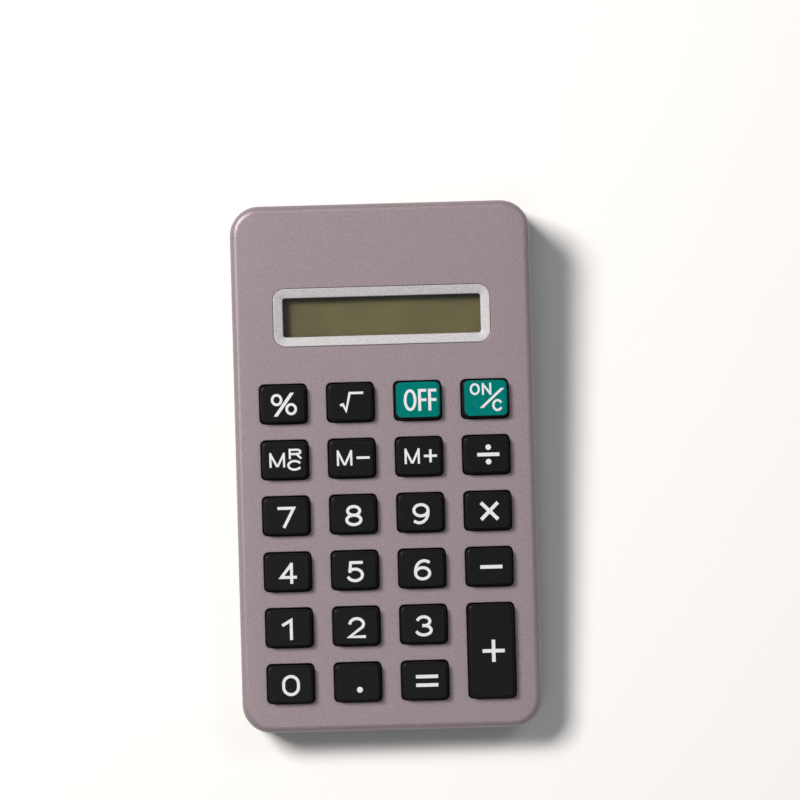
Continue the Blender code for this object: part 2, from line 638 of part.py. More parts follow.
def make_rear_shell():
    """The back with its upright lip, which goes inside the front shell, as one skin."""
    lip_outer = WALL + SEAT_GAP
    lip_inner = lip_outer + LIP_WALL
    lip_top = PARTING + LIP_HEIGHT
    inside = [
        case_ring(lip_outer, REAR_RIM),
        case_ring(lip_outer, lip_top),
        case_ring(lip_inner, lip_top),
        case_ring(lip_inner, REAR_RIM - LIP_ROOT),
        case_ring(WALL, REAR_RIM - LIP_ROOT),
        case_ring(WALL, lambda y: back(y, WALL)),
    ]
    shape = bmesh.new()
    add_loft(shape, rear_body_rings()[::-1] + inside)
    shell = finish("rear_shell", shape, REAR_GREY, CASE)
    buried = WALL / 2

    def inner_walls(add):
        top = FACE_INSIDE - GAP
        low = (BAY_LOW_Y - BAY_WALL, BAY_LOW_Y)
        reach = BAY_HALF - 2 * PLATE_THICKNESS - GAP

        def into_floor(y):
            return back(y, buried)

        add_block(add, (-reach, low[0], CELL_Z), (reach, low[1], top), into_floor)
        for side in (-1, 1):
            edges = sorted((side * BAY_HALF, side * (BAY_HALF + BAY_WALL)))
            add_block(
                add,
                (edges[0], low[0], CELL_Z),
                (edges[1], BAY_HIGH_Y + buried, top),
                into_floor,
            )
        radius = CASE_HEAD_RADIUS + SCREW_GAP + BAY_WALL
        for x, y in CASE_SCREWS:
            add_cylinders(add, [(x, y)], radius, back(y, buried), REAR_BOSS_TOP)

    def bay(cut):
        """Clears the lip out of the space that the cell drops into."""
        half = BAY_HALF - BAY_WALL
        low = (-half, BAY_LOW_Y + BAY_WALL, REAR_RIM - 2 * LIP_ROOT)
        add_block(cut, low, (half, BAY_HIGH_Y + GAP, 0.0))

    def outside_trim(cut):
        """Takes back what the walls reach past the inside of the front shell."""
        outside = -WALL
        reach = WALL + STOP_GAP
        low = REAR_RIM + STOP_GAP
        rings = [
            case_ring(outside, low),
            case_ring(outside, 0.0),
            case_ring(reach, 0.0),
            case_ring(reach, low),
        ]
        add_loft(cut, rings, closed=True)

    def rails(add):
        high = to_world(0.0, BAY_HIGH_Y, back(BAY_HIGH_Y, WALL)).y + buried
        low = to_world(0.0, BAY_LOW_Y, back(BAY_LOW_Y, WALL)).y
        for side in (-1, 1):
            edges = sorted((side * (BAY_HALF - RAIL_REACH), side * (BAY_HALF + BAY_WALL / 2)))
            add_block(
                add,
                (edges[0], low, DOOR_TOP - SEAT_GAP),
                (edges[1], high, RAIL_BOTTOM + RAIL_THICKNESS),
            )

    def screw_holes(cut):
        """From the back: the head's sink, the shank's bore, and room for the front shell's boss."""
        bore = CASE_SCREW_RADIUS + SCREW_GAP
        sink = CASE_HEAD_RADIUS + SCREW_GAP
        room = CASE_BOSS_RADIUS + GAP
        for x, y in CASE_SCREWS:
            profile = (
                (sink, back(y) - CUT_REACH),
                (sink, CASE_SHELF_BOTTOM),
                (bore, CASE_SHELF_BOTTOM),
                (bore, REAR_BOSS_TOP),
                (room, REAR_BOSS_TOP),
                (room, PARTING + LIP_HEIGHT + GAP),
            )
            add_turned(cut, profile, (x, y, 0.0))

    def door_opening(cut):
        add_door_plate(cut, SEAT_GAP)
        add_front_tongue(cut, SEAT_GAP)

    def foot_seats(cut):
        low, high = BACK_Z - GAP, BACK_Z + FOOT_SEAT
        add_cylinders(cut, foot_places(), FOOT_RADIUS + SEAT_GAP, low, high)

    combine(shell, cutter("rear_walls", inner_walls, CASE), "UNION")
    combine(shell, cutter("bay_space", bay, CASE), "DIFFERENCE")
    combine(shell, cutter("rail_pair", rails, None), "UNION")
    combine(shell, cutter("rim_trim", outside_trim, CASE), "DIFFERENCE")
    combine(shell, cutter("screw_bores", screw_holes, CASE), "DIFFERENCE")
    combine(shell, cutter("door_opening", door_opening, None), "DIFFERENCE")
    combine(shell, cutter("foot_seats", foot_seats, None), "DIFFERENCE")


def make_feet():
    for number, place in enumerate(foot_places(), 1):
        shape = bmesh.new()
        add_cylinders(shape, [place], FOOT_RADIUS, 0.0, BACK_Z + FOOT_SEAT - SEAT_GAP)
        finish(f"foot_{number}", shape, BLACK_RUBBER)


# ------------------------------------------------------------------ display
def make_bezel():
    """The silver frame. It lies in a rebate, slopes in towards the window, and has a collar."""
    centre = (0.0, WINDOW_Y)
    inner = BEZEL_PROUD - BEZEL_DISH
    seat = SEAT_GAP - REBATE_DEPTH

    def band(grow, height):
        size = (WINDOW_WIDTH + 2 * grow, WINDOW_LENGTH + 2 * grow)
        corner = WINDOW_CORNER + grow * (BEZEL_CORNER - WINDOW_CORNER) / BEZEL_BAR
        return ring(*size, corner, height, centre)

    rings = [
        band(0.0, FACE_INSIDE),
        band(0.0, inner - BEZEL_EDGE),
        band(BEZEL_EDGE, inner),
        band(BEZEL_BAR - BEZEL_EDGE, BEZEL_PROUD),
        band(BEZEL_BAR, BEZEL_PROUD - BEZEL_EDGE),
        band(BEZEL_BAR, seat),
        band(BEZEL_SPIGOT, seat),
        band(BEZEL_SPIGOT, FACE_INSIDE),
    ]
    shape = bmesh.new()
    add_loft(shape, rings, closed=True)
    finish("display_bezel", shape, BEZEL_SILVER, CASE)


def make_sheet(name, low_y, high_y, top, bottom, finish_material):
    """A flat rectangle of the display stack."""
    shape = bmesh.new()
    add_block(shape, (-DISPLAY_WIDTH / 2, low_y, bottom), (DISPLAY_WIDTH / 2, high_y, top))
    finish(name, shape, finish_material, CASE, smooth=False)


def make_display():
    rear_low = GLASS_LOW_Y + LEDGE_LENGTH
    make_sheet("display_lens", GLASS_LOW_Y, GLASS_HIGH_Y, LENS_TOP, LENS_BOTTOM, CLEAR)
    make_sheet(
        "lcd_front_glass", GLASS_LOW_Y, GLASS_HIGH_Y, FRONT_GLASS_TOP, FRONT_GLASS_BOTTOM, GLASS
    )
    make_sheet("lcd_rear_glass", rear_low, GLASS_HIGH_Y, REAR_GLASS_TOP, REAR_GLASS_BOTTOM, GLASS)
    make_sheet("lcd_reflector", rear_low, GLASS_HIGH_Y, REFLECTOR_TOP, REFLECTOR_BOTTOM, REFLECTOR)

    shape = bmesh.new()
    half = DISPLAY_WIDTH / 2 + SEAT_GAP
    low = (GLASS_LOW_Y - SEAT_GAP, HOLDER_LOW_Y)
    high = (GLASS_HIGH_Y + SEAT_GAP, HOLDER_TOP_Y)
    levels = (LENS_TOP, BOARD_TOP + SEAT_GAP)

    def frame_ring(inside, z):
        grow = 0.0 if inside else HOLDER_WALL
        x = half + grow
        bottom, top = (low[0], high[0]) if inside else (low[1], high[1])
        return [(x, top, z), (-x, top, z), (-x, bottom, z), (x, bottom, z)]

    rings = [
        frame_ring(True, levels[1]),
        frame_ring(True, levels[0]),
        frame_ring(False, levels[0]),
        frame_ring(False, levels[1]),
    ]
    add_loft(shape, rings, closed=True)
    finish("lcd_holder", shape, WHITE_ABS, CASE, smooth=False)

    shape = bmesh.new()
    middle = GLASS_LOW_Y + LEDGE_LENGTH / 2
    add_block(
        shape,
        (-WINDOW_WIDTH / 2, middle - ZEBRA_WIDTH / 2, BOARD_TOP + STOP_GAP),
        (WINDOW_WIDTH / 2, middle + ZEBRA_WIDTH / 2, FRONT_GLASS_BOTTOM - STOP_GAP),
    )
    finish("zebra_connector", shape, CONDUCTIVE, CASE, smooth=False)


# ------------------------------------------------------------------ board
BOARD_HIGH_Y = GLASS_LOW_Y + LEDGE_LENGTH + BOARD_LAP
BOARD_LOW_Y = LOWEST_KEY_Y - SKIRT_REACH - GAP - END_MARGIN
CHIP_PLACE = (0.0, LOWEST_KEY_Y + 3 * KEY_PITCH_Y)
CAPACITOR_PLACE = (-KEY_PITCH_X, LOWEST_KEY_Y + 3 * KEY_PITCH_Y)
RESISTOR_PLACE = (KEY_PITCH_X, LOWEST_KEY_Y + 3 * KEY_PITCH_Y)


def make_board():
    half = CASE_WIDTH / 2 - WALL - BOARD_SIDE_GAP
    shape = bmesh.new()
    add_block(shape, (-half, BOARD_LOW_Y, BOARD_BOTTOM), (half, BOARD_HIGH_Y, BOARD_TOP))
    board = finish("circuit_board", shape, BOARD_GREEN, CASE, smooth=False)

    def holes(cut):
        low, high = BOARD_BOTTOM - GAP, BOARD_TOP + GAP
        add_cylinders(cut, BOARD_SCREWS, BOARD_SCREW_RADIUS + SCREW_GAP, low, high)
        add_cylinders(cut, CASE_SCREWS, CASE_BOSS_RADIUS + GAP, low, high)

    combine(board, cutter("board_holes", holes, CASE), "DIFFERENCE")


def make_parts_on_board():
    surface = BOARD_BOTTOM - STOP_GAP
    profile = []
    for step in range(GLOB_RINGS):
        angle = math.radians(90 * step / GLOB_RINGS)
        profile.append((CHIP_RADIUS * math.cos(angle), surface - CHIP_HEIGHT * math.sin(angle)))
    shape = bmesh.new()
    add_turned(shape, profile, (*CHIP_PLACE, 0.0))
    finish("chip_glob_top", shape, EPOXY, CASE)

    for name, place, radius, length, look in (
        ("capacitor", CAPACITOR_PLACE, CAPACITOR_RADIUS, CAPACITOR_LENGTH, BLACK_PVC),
        ("resistor", RESISTOR_PLACE, RESISTOR_RADIUS, RESISTOR_LENGTH, WHITE_ABS),
    ):
        shape = bmesh.new()
        centre = (*place, surface - radius)
        add_turned(shape, ((radius, -length / 2), (radius, length / 2)), centre, axis="X")
        finish(name, shape, look, CASE)


# ------------------------------------------------------------------ fasteners
def make_screw(name, place, radius, length, head_radius, head_height, seat):
    """A pan-head screw driven in from the back. Its head lies against seat."""
    head = seat - STOP_GAP
    profile = (
        (head_radius * HEAD_FLAT, head - head_height),
        (head_radius, head - head_height * HEAD_RIM),
        (head_radius, head),
        (radius, head),
        (radius, head + length - 2 * radius),
        (radius * SCREW_TIP, head + length),
    )
    shape = bmesh.new()
    add_turned(shape, profile, (*place, 0.0), SCREW_SEGMENTS)
    finish(name, shape, STEEL, CASE)


def make_screws():
    for number, place in enumerate(CASE_SCREWS, 1):
        make_screw(
            f"case_screw_{number}",
            place,
            CASE_SCREW_RADIUS,
            CASE_SCREW_LENGTH,
            CASE_HEAD_RADIUS,
            CASE_HEAD_HEIGHT,
            CASE_SHELF_BOTTOM,
        )
    for number, place in enumerate(BOARD_SCREWS, 1):
        make_screw(
            f"board_screw_{number}",
            place,
            BOARD_SCREW_RADIUS,
            BOARD_SCREW_LENGTH,
            BOARD_HEAD_RADIUS,
            BOARD_HEAD_HEIGHT,
            BOARD_BOTTOM,
        )


# ------------------------------------------------------------------ battery
def make_contact(name, side, leaf):
    """A plate in the bay's side wall slot, with a tail past the bay's wall. leaf is its spring bulge."""
    outer = side * (BAY_HALF - SEAT_GAP)
    inner = outer - side * PLATE_THICKNESS
    low_y, high_y = CELL_Y - PLATE_LENGTH / 2, CELL_Y + PLATE_LENGTH / 2
    tail_y = BAY_LOW_Y - BAY_WALL - TAIL_LENGTH / 2
    shape = bmesh.new()
    face = [(outer, low_y), (outer, high_y), (inner, high_y)]
    if leaf:
        tip = inner - side * leaf
        quarter = PLATE_LENGTH / 4
        face += [(inner, CELL_Y + quarter), (tip, CELL_Y + quarter / 2)]
        face += [(tip, CELL_Y - quarter / 2), (inner, CELL_Y - quarter)]
    face += [(inner, low_y)]
    add_loft(
        shape, [[(x, y, CELL_Z + z) for x, y in face] for z in (-PLATE_LENGTH / 2, PLATE_LENGTH / 2)]
    )
    plate = finish(name, shape, STEEL, CASE, smooth=False)

    def tail(add):
        edges = sorted((inner, outer))
        add_block(
            add,
            (edges[0], tail_y, CELL_Z - TAIL_WIDTH / 2),
            (edges[1], low_y + TAIL_LAP, CELL_Z + TAIL_WIDTH / 2),
        )

    combine(plate, cutter(f"{name}_tail", tail, CASE), "UNION")


def make_spring():
    """The coil that pushes on the cell's flat end."""
    start = -(BAY_HALF - SEAT_GAP - PLATE_THICKNESS) + SPRING_WIRE + STOP_GAP
    end = CELL_LEFT - SPRING_WIRE - STOP_GAP
    steps = int(SPRING_STEPS * SPRING_TURNS)
    curve = bpy.data.curves.new("battery_negative_spring", "CURVE")
    curve.dimensions = "3D"
    curve.bevel_depth = SPRING_WIRE
    curve.bevel_resolution = 1
    curve.use_fill_caps = True
    spline = curve.splines.new("POLY")
    spline.points.add(steps)
    for step in range(steps + 1):
        share = step / steps
        angle = 2 * math.pi * SPRING_TURNS * share
        radius = SPRING_RADIUS + (SPRING_END_RADIUS - SPRING_RADIUS) * share
        spline.points[step].co = (
            start + (end - start) * share,
            CELL_Y + radius * math.cos(angle),
            CELL_Z + radius * math.sin(angle),
            1.0,
        )
    spring = bpy.data.objects.new("battery_negative_spring", curve)
    bpy.context.scene.collection.objects.link(spring)
    spring.parent = CASE
    curve.materials.append(STEEL)


def make_lead(name, side, look):
    """An insulated wire from a contact's tail to the back of the board."""
    tail = Vector((side * (BAY_HALF - 2 * SEAT_GAP), BAY_LOW_Y - BAY_WALL - TAIL_LENGTH / 2, CELL_Z))
    start = tail + Vector((0.0, -LEAD_RADIUS - STOP_GAP, 0.0))
    end = Vector((side * WINDOW_WIDTH / 2, BOARD_HIGH_Y - LEAD_INSET, BOARD_BOTTOM - STOP_GAP))
    reach = (start - end).length / 2
    one = start + Vector((0.0, -reach, 0.0))
    two = end + Vector((0.0, 0.0, -reach))
    points = []
    for step in range(LEAD_STEPS + 1):
        t = step / LEAD_STEPS
        near = start * (1 - t) ** 3 + one * 3 * t * (1 - t) ** 2
        points.append(near + two * 3 * t * t * (1 - t) + end * t**3)
    curve = bpy.data.curves.new(name, "CURVE")
    curve.dimensions = "3D"
    curve.bevel_depth = LEAD_RADIUS
    curve.bevel_resolution = 2
    curve.use_fill_caps = True
    spline = curve.splines.new("POLY")
    spline.points.add(LEAD_STEPS)
    for point, place in zip(spline.points, points):
        point.co = (*place, 1.0)
    lead = bpy.data.objects.new(name, curve)
    bpy.context.scene.collection.objects.link(lead)
    lead.parent = CASE
    curve.materials.append(look)


def make_battery():
    profile = (
        (CELL_RADIUS - CELL_EDGE, CELL_LEFT),
        (CELL_RADIUS, CELL_LEFT + CELL_EDGE),
        (CELL_RADIUS, CELL_RIGHT - CELL_EDGE),
        (CELL_RADIUS - CELL_EDGE, CELL_RIGHT),
        (NUB_RADIUS, CELL_RIGHT),
        (NUB_RADIUS, CELL_RIGHT + NUB_LENGTH),
    )
    shape = bmesh.new()
    add_turned(shape, profile, (0.0, CELL_Y, CELL_Z), CELL_SEGMENTS, axis="X")
    finish("battery_cell", shape, CELL_WRAP, CASE)

    leaf = (BAY_HALF - SEAT_GAP - PLATE_THICKNESS) - (CELL_RIGHT + NUB_LENGTH) - STOP_GAP
    make_contact("battery_positive_contact", 1, leaf)
    make_contact("battery_negative_plate", -1, 0.0)
    make_spring()
    make_lead("lead_red", 1, RED_PVC)
    make_lead("lead_black", -1, BLACK_PVC)


# ------------------------------------------------------------------ assembly
make_front_shell()
make_rear_shell()
make_battery_door()
make_feet()
make_bezel()
make_display()
make_board()
make_parts_on_board()
make_mat()
for key in key_places():
    make_key(*key)
make_screws()
make_battery()
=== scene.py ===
"""Looks of a wedge-shaped pocket calculator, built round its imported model.

The face is laid out in the face frame: x to the right, y up the face, z out of it, z = 0 on the face.
FACE turns that frame into the model's own, in which the calculator lies on its feet.
"""

import json
import math

import bmesh
import bpy
from mathutils import Matrix, Vector

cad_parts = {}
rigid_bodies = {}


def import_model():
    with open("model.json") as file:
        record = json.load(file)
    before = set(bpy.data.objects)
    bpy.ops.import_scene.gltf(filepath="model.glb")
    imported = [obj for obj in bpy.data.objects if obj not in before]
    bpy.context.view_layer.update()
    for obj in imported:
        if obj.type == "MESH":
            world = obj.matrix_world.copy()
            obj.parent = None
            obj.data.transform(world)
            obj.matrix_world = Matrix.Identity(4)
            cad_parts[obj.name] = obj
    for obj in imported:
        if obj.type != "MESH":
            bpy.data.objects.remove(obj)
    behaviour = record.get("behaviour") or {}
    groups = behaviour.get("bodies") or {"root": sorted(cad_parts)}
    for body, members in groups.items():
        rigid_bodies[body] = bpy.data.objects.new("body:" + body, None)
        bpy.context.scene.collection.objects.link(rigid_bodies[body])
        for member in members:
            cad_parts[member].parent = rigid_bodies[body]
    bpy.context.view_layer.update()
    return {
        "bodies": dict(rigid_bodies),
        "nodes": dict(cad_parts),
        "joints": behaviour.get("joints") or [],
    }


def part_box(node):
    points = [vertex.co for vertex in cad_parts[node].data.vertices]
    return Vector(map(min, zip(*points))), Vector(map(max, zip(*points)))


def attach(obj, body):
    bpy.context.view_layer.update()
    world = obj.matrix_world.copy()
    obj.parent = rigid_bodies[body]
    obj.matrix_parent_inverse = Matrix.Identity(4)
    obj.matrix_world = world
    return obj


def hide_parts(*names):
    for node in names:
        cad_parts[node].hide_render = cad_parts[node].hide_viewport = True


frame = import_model()
MM = 0.001

# ------------------------------------------------------------------ face frame
# The keys travel square to the face, so their joints give its slope. The front shell's box gives its
# height and its middle.
press = next(joint for joint in frame["joints"] if joint["name"] == "key_5_press")["axis"]
TURN = Matrix.Rotation(math.atan2(press[1], -press[2]), 4, "X")


def box_on_face(node, turn=TURN.inverted()):
    """Lowest and highest corner of a CAD node, along the face frame's directions.

    With TO_FACE as turn they are also measured from the face frame's origin.
    """
    points = [turn @ v.co for v in frame["nodes"][node].data.vertices]
    low = Vector([min(p[i] for p in points) for i in range(3)])
    return low, Vector([max(p[i] for p in points) for i in range(3)])


shell_low, shell_high = box_on_face("front_shell")
FACE = TURN @ Matrix.Translation((0, (shell_low.y + shell_high.y) / 2, shell_high.z))
TO_FACE = FACE.inverted()
CASE_LENGTH = shell_high.y - shell_low.y


# ------------------------------------------------------------------ front shell
# Injection-moulded ABS, sprayed with a warm grey metallic lacquer. The mould's steel leaves a small
# radius round every opening. The shell drops over the rear one and is held by screws from behind.
HOLE_RADIUS = 0.16 * MM
HOLE_STEPS = 3
WELD = 0.002 * MM  # points closer than this are one
SAME_HEIGHT = 0.01 * MM  # points within this of a height are taken to lie at it
NEARLY_FLAT = math.radians(0.4)


def linear(colour):
    """An sRGB hex colour as linear RGBA."""
    parts = [int(colour[i : i + 2], 16) / 255 for i in (1, 3, 5)]
    return (*[p / 12.92 if p <= 0.04045 else ((p + 0.055) / 1.055) ** 2.4 for p in parts], 1.0)


def node(material, kind, settings=None, **links):
    """Adds a node. settings sets its properties and its sockets, links joins sockets to outputs."""
    made = material.node_tree.nodes.new(kind)
    for key, value in (settings or {}).items():
        if key in made.inputs:
            made.inputs[key].default_value = value
        else:
            setattr(made, key, value)
    for key, source in links.items():
        material.node_tree.links.new(source, made.inputs[key.replace("_", " ")])
    return made


def surface(name, **sockets):
    """A new material and its Principled shader, with plain values on the shader's own sockets."""
    made = bpy.data.materials.new(name)
    made.use_nodes = True
    shader = made.node_tree.nodes["Principled BSDF"]
    for key, value in sockets.items():
        shader.inputs[key.replace("_", " ")].default_value = value
    return made, shader


def wire(material, source, target):
    material.node_tree.links.new(source, target)


def speckle(material, shader, grain, dark, light, bump, bump_grain, detail=2.0):
    """Colour grain between two colours, and a fine relief, both sized in metres."""
    place = node(material, "ShaderNodeTexCoord").outputs["Object"]
    noise = node(
        material, "ShaderNodeTexNoise", {"Scale": 1 / grain, "Detail": detail}, Vector=place
    )
    tones = node(material, "ShaderNodeValToRGB", {}, Fac=noise.outputs["Fac"])
    tones.color_ramp.elements[0].position = 0.3
    tones.color_ramp.elements[1].position = 0.7
    tones.color_ramp.elements[0].color = linear(dark)
    tones.color_ramp.elements[1].color = linear(light)
    wire(material, tones.outputs["Color"], shader.inputs["Base Color"])
    relief = node(
        material, "ShaderNodeTexNoise", {"Scale": 1 / bump_grain, "Detail": detail}, Vector=place
    )
    raised = node(
        material,
        "ShaderNodeBump",
        {"Strength": 1.0, "Distance": bump},
        Height=relief.outputs["Fac"],
    )
    wire(material, raised.outputs["Normal"], shader.inputs["Normal"])


def finish_piece(name, shape, material, body, replaces=(), sharp=35, weighted=True):
    """Turns a bmesh in the model's own frame into a piece that rides on a body."""
    mesh = bpy.data.meshes.new(name)
    shape.to_mesh(mesh)
    shape.free()
    mesh.shade_smooth()
    mesh.set_sharp_from_angle(angle=math.radians(sharp))
    mesh.materials.append(material)
    piece = bpy.data.objects.new(name, mesh)
    bpy.context.scene.collection.objects.link(piece)
    if weighted:  # flats stay flat beside their rounded edges
        shading = piece.modifiers.new("weighted_normals", "WEIGHTED_NORMAL")
        shading.keep_sharp = True
    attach(piece, body)
    if replaces:
        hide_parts(*replaces)
    return piece


def merged_copy(name):
    """A CAD node's surface as a clean bmesh: loose triangles joined, flats in one face each."""
    shape = bmesh.new()
    shape.from_mesh(frame["nodes"][name].data)
    bmesh.ops.remove_doubles(shape, verts=shape.verts, dist=WELD)
    bmesh.ops.dissolve_limit(shape, angle_limit=NEARLY_FLAT, verts=shape.verts, edges=shape.edges)
    return shape


# The lacquer has a satin sheen, fine flakes and a slight orange peel. Flakes of about 0.03 mm are too
# fine to show, so they are drawn at 0.35 mm.
lacquer, shader = surface("satin_metallic_lacquer_on_abs", Roughness=0.42, Metallic=0.25)
speckle(lacquer, shader, 0.35 * MM, "#887b81", "#988b92", 0.006 * MM, 0.7 * MM)

shape = merged_copy("front_shell")
bmesh.ops.transform(shape, verts=shape.verts, matrix=TO_FACE)
level = [f for f in shape.faces if all(abs(v.co.z) < SAME_HEIGHT for v in f.verts)]
bmesh.ops.delete(shape, geom=level, context="FACES")
open_edges = {e for e in shape.edges if e.is_boundary}
while open_edges:  # one opening after another, and the face's outer edge
    loop, found = [], [open_edges.pop()]
    while found:
        edge = found.pop()
        loop.append(edge)
        near = {e for v in edge.verts for e in v.link_edges} & open_edges
        open_edges -= near
        found += near
    verts = list({v for e in loop for v in e.verts})
    reach_x = (max(v.co.x for v in verts) - min(v.co.x for v in verts)) / 2
    reach_y = (max(v.co.y for v in verts) - min(v.co.y for v in verts)) / 2
    if reach_y > CASE_LENGTH / 3:  # the face's outer edge is rounded already
        continue
    middle = Vector((max(v.co.x for v in verts) - reach_x, max(v.co.y for v in verts) - reach_y, 0))
    bmesh.ops.translate(shape, verts=verts, vec=(0, 0, -HOLE_RADIUS))
    for step in range(HOLE_STEPS):
        made = bmesh.ops.extrude_edge_only(shape, edges=loop)["geom"]
        loop = [e for e in made if isinstance(e, bmesh.types.BMEdge)]
        verts = [v for v in made if isinstance(v, bmesh.types.BMVert)]
        start, end = [math.radians(90 * (step + i) / HOLE_STEPS) for i in (0, 1)]
        grown = HOLE_RADIUS * (math.cos(start) - math.cos(end))
        risen = HOLE_RADIUS * (math.sin(end) - math.sin(start))
        widen = Matrix.Diagonal((1 + grown / reach_x, 1 + grown / reach_y, 1.0, 1.0))
        place = Matrix.Translation(middle)
        bmesh.ops.transform(
            shape,
            verts=verts,
            matrix=Matrix.Translation((0, 0, risen)) @ place @ widen @ place.inverted(),
        )
bmesh.ops.triangle_fill(
    shape,
    edges=[e for e in shape.edges if e.is_boundary],
    use_beauty=True,
    normal=(0, 0, 1),
)
bmesh.ops.recalc_face_normals(shape, faces=shape.faces)
bmesh.ops.transform(shape, verts=shape.verts, matrix=FACE)
finish_piece("front_shell_painted", shape, lacquer, "case", ["front_shell"])

# ------------------------------------------------------------------ rear shell
# The same ABS, unpainted and moulded in grey. It holds the battery bay and closes the case from behind
# with four screws.

# The spark-eroded mould leaves a fine matt grain of about 0.1 mm. It is drawn at 0.35 mm, so that it
# shows.
rear_grey, shader = surface("spark_textured_grey_abs", Roughness=0.58)
speckle(rear_grey, shader, 0.5 * MM, "#6a686b", "#737174", 0.02 * MM, 0.35 * MM)
shape = merged_copy("rear_shell")
finish_piece("rear_shell_moulded", shape, rear_grey, "case", ["rear_shell"])

# ------------------------------------------------------------------ battery door
# Moulded in the rear shell's ABS, with the same grain. It has finger grooves and a raised arrow that
# shows which way it slides off its rails.
ARROW_WIDTH = 6.0 * MM
ARROW_LENGTH = 2.7 * MM
ARROW_RISE = 0.3 * MM
ARROW_ROOT = 0.06 * MM  # how far it starts inside the door's skin
ARROW_INSET = 1.1 * MM  # from the door's fixed edge
ARROW_CORNER = 0.25 * MM
ARROW_EDGE = 0.12 * MM


def soften(shape, edges, width, segments=2):
    """Rounds edges, starting at width from each."""
    bmesh.ops.bevel(
        shape,
        geom=list(edges),
        affect="EDGES",
        offset=width,
        segments=segments,
        profile=0.5,
        material=-1,
        clamp_overlap=False,
    )


shape = merged_copy("battery_door")
finish_piece(
    "battery_door_moulded",
    shape,
    rear_grey,
    "battery_door",
    ["battery_door"],
)

low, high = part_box("battery_door")
door_points = [v.co for v in frame["nodes"]["battery_door"].data.vertices]
fixed_edge = min(p.y for p in door_points if p.z < low.z + SAME_HEIGHT)
arrow = bmesh.new()
foot_y = fixed_edge + ARROW_INSET
outline = [(-ARROW_WIDTH / 2, foot_y), (ARROW_WIDTH / 2, foot_y), (0.0, foot_y + ARROW_LENGTH)]
base = arrow.faces.new([arrow.verts.new((x, y, low.z + ARROW_ROOT)) for x, y in outline])
lifted = bmesh.ops.extrude_face_region(arrow, geom=[base])["geom"]
lifted = [v for v in lifted if isinstance(v, bmesh.types.BMVert)]
bmesh.ops.translate(arrow, verts=lifted, vec=(0, 0, -ARROW_RISE - ARROW_ROOT))
bmesh.ops.recalc_face_normals(arrow, faces=arrow.faces)
upright = [e for e in arrow.edges if abs(e.verts[0].co.z - e.verts[1].co.z) > ARROW_RISE / 2]
soften(arrow, upright, ARROW_CORNER, 3)
crest = [e for e in arrow.edges if all(v.co.z < low.z - ARROW_RISE * 0.9 for v in e.verts)]
soften(arrow, crest, ARROW_EDGE)
finish_piece("battery_door_arrow", arrow, rear_grey, "battery_door")

# ------------------------------------------------------------------ display bezel
# A separate ABS frame that lies in a rebate of the front shell. Its bars slope in towards the window,
# and a collar goes through the shell. It is sprayed bright silver.
BEZEL_BAR = 2.05 * MM
BEZEL_CORNER = 2.7 * MM
BEZEL_SPIGOT = 0.9 * MM
BEZEL_DISH = 0.30 * MM
BEZEL_SEAT = -0.75 * MM
BEZEL_OUTER_EDGE = 0.16 * MM  # level strip round the outside
BEZEL_OUTER_ROUND = 0.144 * MM
BEZEL_INNER_ROUND = 0.2 * MM
BEZEL_FIT = 0.08 * MM  # how far the paint build-up closes the rebate's gap
BEZEL_CORNER_STEPS = 12
SIDE_STEEPNESS = 0.5  # a face counts as a side if its normal rises less than this


def slab(width, length, low, high, corner, segments, centre=(0.0, 0.0)):
    """A bmesh block with rounded upright edges."""
    shape = bmesh.new()
    place = Matrix.Translation((*centre, (low + high) / 2))
    bmesh.ops.create_cube(
        shape, size=1.0, matrix=place @ Matrix.Diagonal((width, length, high - low, 1.0))
    )
    upright = [e for e in shape.edges if abs(e.verts[0].co.z - e.verts[1].co.z) > (high - low) / 2]
    soften(shape, upright, corner, segments)
    return shape


def level_face(shape, height):
    """The face that lies level at a height."""
    return min(
        (f for f in shape.faces if abs(f.normal.z) > 0.9 or len(f.verts) > 4),
        key=lambda f: abs(f.calc_center_median().z - height),
    )


def rim_edges(shape, height):
    """The edges at a height that have a side of the shape next to them."""
    return [
        e
        for e in shape.edges
        if all(abs(v.co.z - height) < SAME_HEIGHT for v in e.verts)
        and any(abs(f.normal.z) < SIDE_STEEPNESS for f in e.link_faces)
    ]


def step_in(shape, face, margin):
    """Insets a level face by margin (outwards if negative) and returns it."""
    bmesh.ops.inset_region(
        shape,
        faces=[face],
        thickness=abs(margin),
        use_even_offset=True,
        use_boundary=True,
        use_outset=margin < 0,
    )
    return face


def push(shape, face, rise, margin=0.0):
    """Extrudes a level face by rise along z, then grows it by margin. Returns the new face."""
    made = bmesh.ops.extrude_discrete_faces(shape, faces=[face])["faces"][0]
    bmesh.ops.translate(shape, verts=made.verts, vec=(0, 0, rise))
    if margin:
        middle = made.calc_center_median()
        half_x = max(abs(v.co.x - middle.x) for v in made.verts)
        half_y = max(abs(v.co.y - middle.y) for v in made.verts)
        scale = Matrix.Diagonal((1 + margin / half_x, 1 + margin / half_y, 1.0, 1.0))
        bmesh.ops.transform(
            shape,
            verts=made.verts,
            matrix=Matrix.Translation(middle) @ scale @ Matrix.Translation(-middle),
        )
    return made


